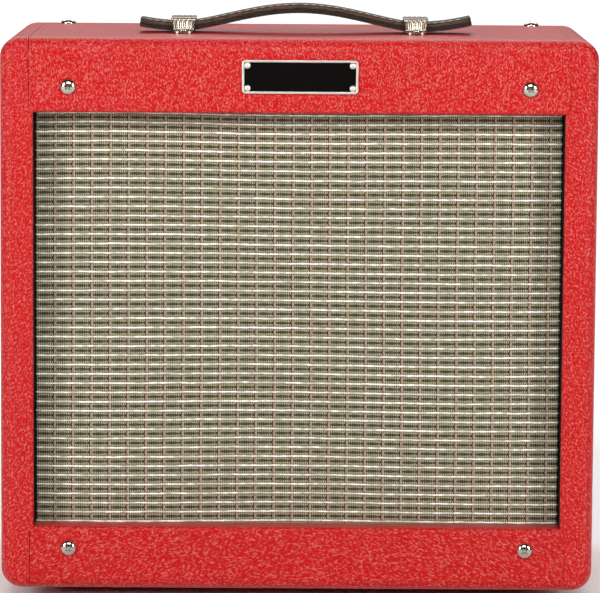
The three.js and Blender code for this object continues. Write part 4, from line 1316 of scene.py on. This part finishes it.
jack_place = on_panel(CONTROL_X["jack"])
put(
    "jack_body", block((-9, 9), (-9, 9), (-23.8, -1.8)), PLASTIC, ["input_jack"],
    jack_place, soft=(0.8,),
)
jack_ring = [(3.3, -8), (4.5, -8), (4.5, 2.4), (4.2, 3.0), (3.5, 3.15), (3.3, 2.9)]
put("jack_bush", turned(jack_ring, 64), NICKEL, place=jack_place)
jack_well = turned([(0, -8), (3.3, -8), (3.3, -1.5), (3.35, -1.5), (3.4, -8.4), (0, -8.4)], 32)
put("jack_well", jack_well, PLASTIC, place=jack_place)


def nut(radius, bore, low, high):
    outer, inner = circle(radius, 6), circle(bore, 48)
    points = [(x, y, z) for z in (low, high) for x, y in outer + inner]
    faces = []
    for z in (0, 54):
        for k in range(6):
            nxt = (k + 1) % 6
            arc = [6 + (k * 8 + i) % 48 for i in range(9)]
            faces.append(tuple(v + z for v in [k, nxt, *reversed(arc)]))
    faces += [(k, (k + 1) % 6, (k + 1) % 6 + 54, k + 54) for k in range(6)]
    faces += [(6 + k, 6 + (k + 1) % 48, 60 + (k + 1) % 48, 60 + k) for k in range(48)]
    return points, faces


put("jack_nut", nut(7.4, 4.55, 0.3, 2.5), NICKEL, place=jack_place, soft=(0.3, 2, 50))

# ---------------------------------------------------------------- under the tray
TRAY_Z = span("power_transformer")[2][1] + 0.3
TRAY_Y = centre("power_transformer").y
board_x, board_y, _ = span("circuit_board")
put(
    "board_plate", block(board_x, board_y, (314, 315.6)), RESIST, ["circuit_board"],
    soft=(0.2, 2),
)
rng = random.Random(3)
resistors, leads = [], []
for row in range(4):
    for column in range(9):
        x, y = board_x[0] + 14 + column * 10.4 + rng.uniform(-1.5, 1.5), board_y[0] + 20 + row * 7.5
        if abs(x + 66) < 9 or x > board_x[1] - 10:
            continue
        along = Matrix.Translation((x, y, 317.6)) @ Matrix.Rotation(math.pi / 2, 4, "Y")
        body_line = [
            (0, -3.2), (1.1, -3.2), (1.2, -2.2), (0.95, -1.6), (0.95, 1.6), (1.2, 2.2), (1.1, 3.2),
            (0, 3.2),
        ]
        resistors.append(moved(turned(body_line, 12), matrix=along))
        bent = [(x - 4.6, y, 315.4), (x - 4.6, y, 317.4), (x + 4.6, y, 317.4), (x + 4.6, y, 315.4)]
        leads.append(tube(bent, 0.3, 6))
put("board_resistors", joined(*resistors), RESISTOR)
put("board_leads", joined(*leads), ZINC)
cans = []
for x in (-66, 12):
    line = [
        (0, 0), (6.5, 0), (6.5, 1.2), (6.1, 1.6), (6.5, 2.0), (6.5, 10), (6.0, 10.9), (4.2, 11),
        (4.0, 10.7), (0, 10.7),
    ]
    cans.append(moved(turned(line, 40), x, board_y[0] + 10, 315.6))
put("board_capacitors", joined(*cans), SLEEVE)
posts = [
    rod(2.5, TRAY_Z + 1.8, 314, x, y, 6) for x in (board_x[0] + 5, board_x[1] - 5)
    for y in (board_y[0] + 5, board_y[1] - 5)
]
put("board_posts", joined(*posts), BRASS)

VALVES = {
    "power": (centre("power_valve"), span("power_valve")[2][1], 15.8),
    "preamp": (centre("preamp_valve"), span("preamp_valve")[2][1], 11.2),
}
for name, (at, _, radius) in VALVES.items():
    line = [(0, 0), (radius - 0.6, 0), (radius, 0.6), (radius, 16), (radius - 3, 17.3), (0, 17.3)]
    socket = moved(turned(line, 64), at.x, TRAY_Y, TRAY_Z - 3)
    put(f"{name}_socket", socket, PLASTIC)
power, power_top, _ = VALVES["power"]
preamp, preamp_top, _ = VALVES["preamp"]
power_place = facing("down", power.x, TRAY_Y, power_top)
preamp_place = facing("down", preamp.x, TRAY_Y, preamp_top)
base_line = [(0, 0), (15.6, 0), (16, 0.6), (16, 12), (15.4, 13), (13, 13.6), (0, 13.6)]
put("power_base", turned(base_line, 72), PLASTIC, place=power_place)
glass_line = [
    (12.4, 13.4), (12.6, 15), (13.6, 18), (14.6, 22), (14.75, 26), (14.75, 60), (14.2, 65),
    (12.2, 71), (9, 75), (5, 78.4), (3.2, 79.6), (1.5, 80.7), (0, 80.9),
]
put("power_glass", turned(glass_line, 72), GLASS, ["power_valve"], power_place)
plates = joined(
    prism(rounded_rectangle(9, 5, 2), 28, 60),
    prism(circle(11.6, 40), 25.6, 26.4),
    prism(circle(11.6, 40), 61.6, 62.4),
    *[rod(0.5, 14, 64, x, 0, 10) for x in (-10, 10)],
)
put("power_electrodes", plates, ELECTRODE, place=power_place, soft=(0.15, 1, 50))
getter = [(0, 80.2), (4.6, 77.8), (8.6, 74.6), (11.8, 70.6), (12.6, 68.4)]
put("power_getter", turned(getter, 48), FILAMENT, place=power_place)
small_line = [
    (0, 0.1), (10.2, 0.1), (10.7, 1), (10.7, 39), (10.2, 42), (8.2, 45.4), (5, 47.4), (2.6, 48.3),
    (1.3, 50.2), (0.8, 51.8), (0, 52),
]
put("preamp_glass", turned(small_line, 64), GLASS, ["preamp_valve"], preamp_place)
small = joined(
    moved(prism(rounded_rectangle(3.2, 2.6, 1), 12, 34), -4, 0),
    moved(prism(rounded_rectangle(3.2, 2.6, 1), 12, 34), 4, 0),
    prism(circle(9, 32), 10, 10.6),
    prism(circle(9, 32), 35.4, 36),
)
put("preamp_electrodes", small, ELECTRODE, place=preamp_place, soft=(0.1, 1, 50))
put(
    "preamp_getter", turned([(0, 47.6), (4.4, 46.9), (7.6, 44.9), (9.4, 41.6)], 40), FILAMENT,
    place=preamp_place,
)


def transformer(name, node, core, bell, flange, height):
    """A laminated core standing on its flange, with a pressed bell on each face and four bolts."""
    place = facing("down", centre(node).x, TRAY_Y, TRAY_Z)
    core_shape = block((-core[0], core[0]), (-core[1], core[1]), (0.3, height))
    put(f"{name}_core", core_shape, LAMINATION, [node], place, soft=(0.4, 2))
    bells = []
    for s in (-1, 1):
        y = sorted((s * core[1], s * bell[1]))
        bells.append(block((-bell[0], bell[0]), y, (5, height - 5)))
    put(f"{name}_bells", joined(*bells), BLACK_STEEL, place=place, soft=(3.2, 5))
    put(
        f"{name}_flange", block((-flange[0], flange[0]), (-flange[1], flange[1]), (0.3, 2.3)),
        BLACK_STEEL, place=place, soft=(0.5, 2),
    )
    heads, head_line = [], [(0, 2.4), (1.4, 2.2), (2.5, 1.3), (2.8, 0), (0, -0.2)]
    for x in (-core[0] + 4.5, core[0] - 4.5):
        for z in (7, height - 5):
            for s in (-1, 1):
                turn = Matrix.Translation((x, s * core[1], z)) @ Matrix.Rotation(-s * math.pi / 2, 4, "X")
                heads.append(moved(turned(head_line, 20), matrix=turn))
    put(f"{name}_bolts", joined(*heads), ZINC, place=place)


transformer("mains_transformer", "power_transformer", (33, 15), (24, 26), (33, 24), 56)
transformer("output_transformer_body", "output_transformer", (21, 10), (13, 18), (28, 8), 36)

inlet_place = facing("down", centre("mains_inlet").x, TRAY_Y, TRAY_Z)
mouth = rounded_rectangle(12, 8, 2.0)
flange = framed(rounded_rectangle(24, 13.5, 2.5), mouth, 0.3, 3)
put("inlet_flange", flange, PLASTIC, ["mains_inlet"], inlet_place, soft=(0.5, 2, 50))
shell = framed(rounded_rectangle(14, 10.5, 2.5), mouth, -18, 0.3)
put("inlet_shell", shell, PLASTIC, place=inlet_place)
put(
    "inlet_floor", block((-12.5, 12.5), (-8.5, 8.5), (-18, -13.5)), PLASTIC,
    place=inlet_place,
)
pins = joined(*[block((x - 1, x + 1), (y - 2, y + 2), (-14, -2)) for x, y in ((0, 3), (-7, -2), (7, -2))])
put("inlet_pins", pins, BRASS, place=inlet_place, soft=(0.4, 2))
ears = []
for x in (-19, 19):
    ears.append(moved(turned([(0, 1.6), (1.5, 1.4), (2.6, 0.6), (2.9, 0), (0, -0.2)], 24), x, 0, 3))
put("inlet_screws", joined(*ears), NICKEL, place=inlet_place)


def smooth_path(points, steps):
    """A Catmull-Rom line through points."""
    ends = [points[0], *points, points[-1]]
    path = []
    for i in range(1, len(ends) - 2):
        p0, p1, p2, p3 = (Vector(p) for p in ends[i - 1 : i + 3])
        for k in range(steps):
            t = k / steps
            square = (2 * p0 - 5 * p1 + 4 * p2 - p3) * t**2
            cube = (3 * p1 - p0 - 3 * p2 + p3) * t**3
            path.append(0.5 * (2 * p1 + (p2 - p0) * t + square + cube))
    return path + [Vector(points[-1])]


lead_top = hi("speaker_lead").z / MM
lead_y = hi("speaker_lead").y / MM - 2.6
route = [
    (-93, lead_y, lead_top), (-93, lead_y, 284), (-99, 44, 252), (-114, -2, 216), (-119, -42, 197),
    (-112, SPEAKER.y + 27, 192),
]
for number, (shift, lug_z) in enumerate(((-1.3, 5.0), (1.3, -5.0))):
    line = [(x + shift * 0.8, y, z + shift) for x, y, z in route]
    line += [(tx0 + 4, SPEAKER.y + 26.4, SPEAKER.z - lug_z), (tx0 + 8, SPEAKER.y + 25.9, SPEAKER.z - lug_z)]
    sleeve = WIRE_RED if number else CABLE
    wire = surface(f"speaker_wire_{number + 1}", *tube(smooth_path(line, 12), 1.2, 14), [sleeve])
    add(wire.name, wire, ["speaker_lead"] if number == 0 else [])
grommet = [
    (2.6, -1.2), (3.9, -1.2), (5.2, -0.8), (5.2, -0.2), (4.0, 0), (4.0, 1.5), (5.2, 1.7),
    (5.2, 2.4), (3.9, 2.8), (2.6, 2.8),
]
put("lead_grommet", turned(grommet, 36), RUBBER, place=facing("up", -93, lead_y, TRAY_Z))
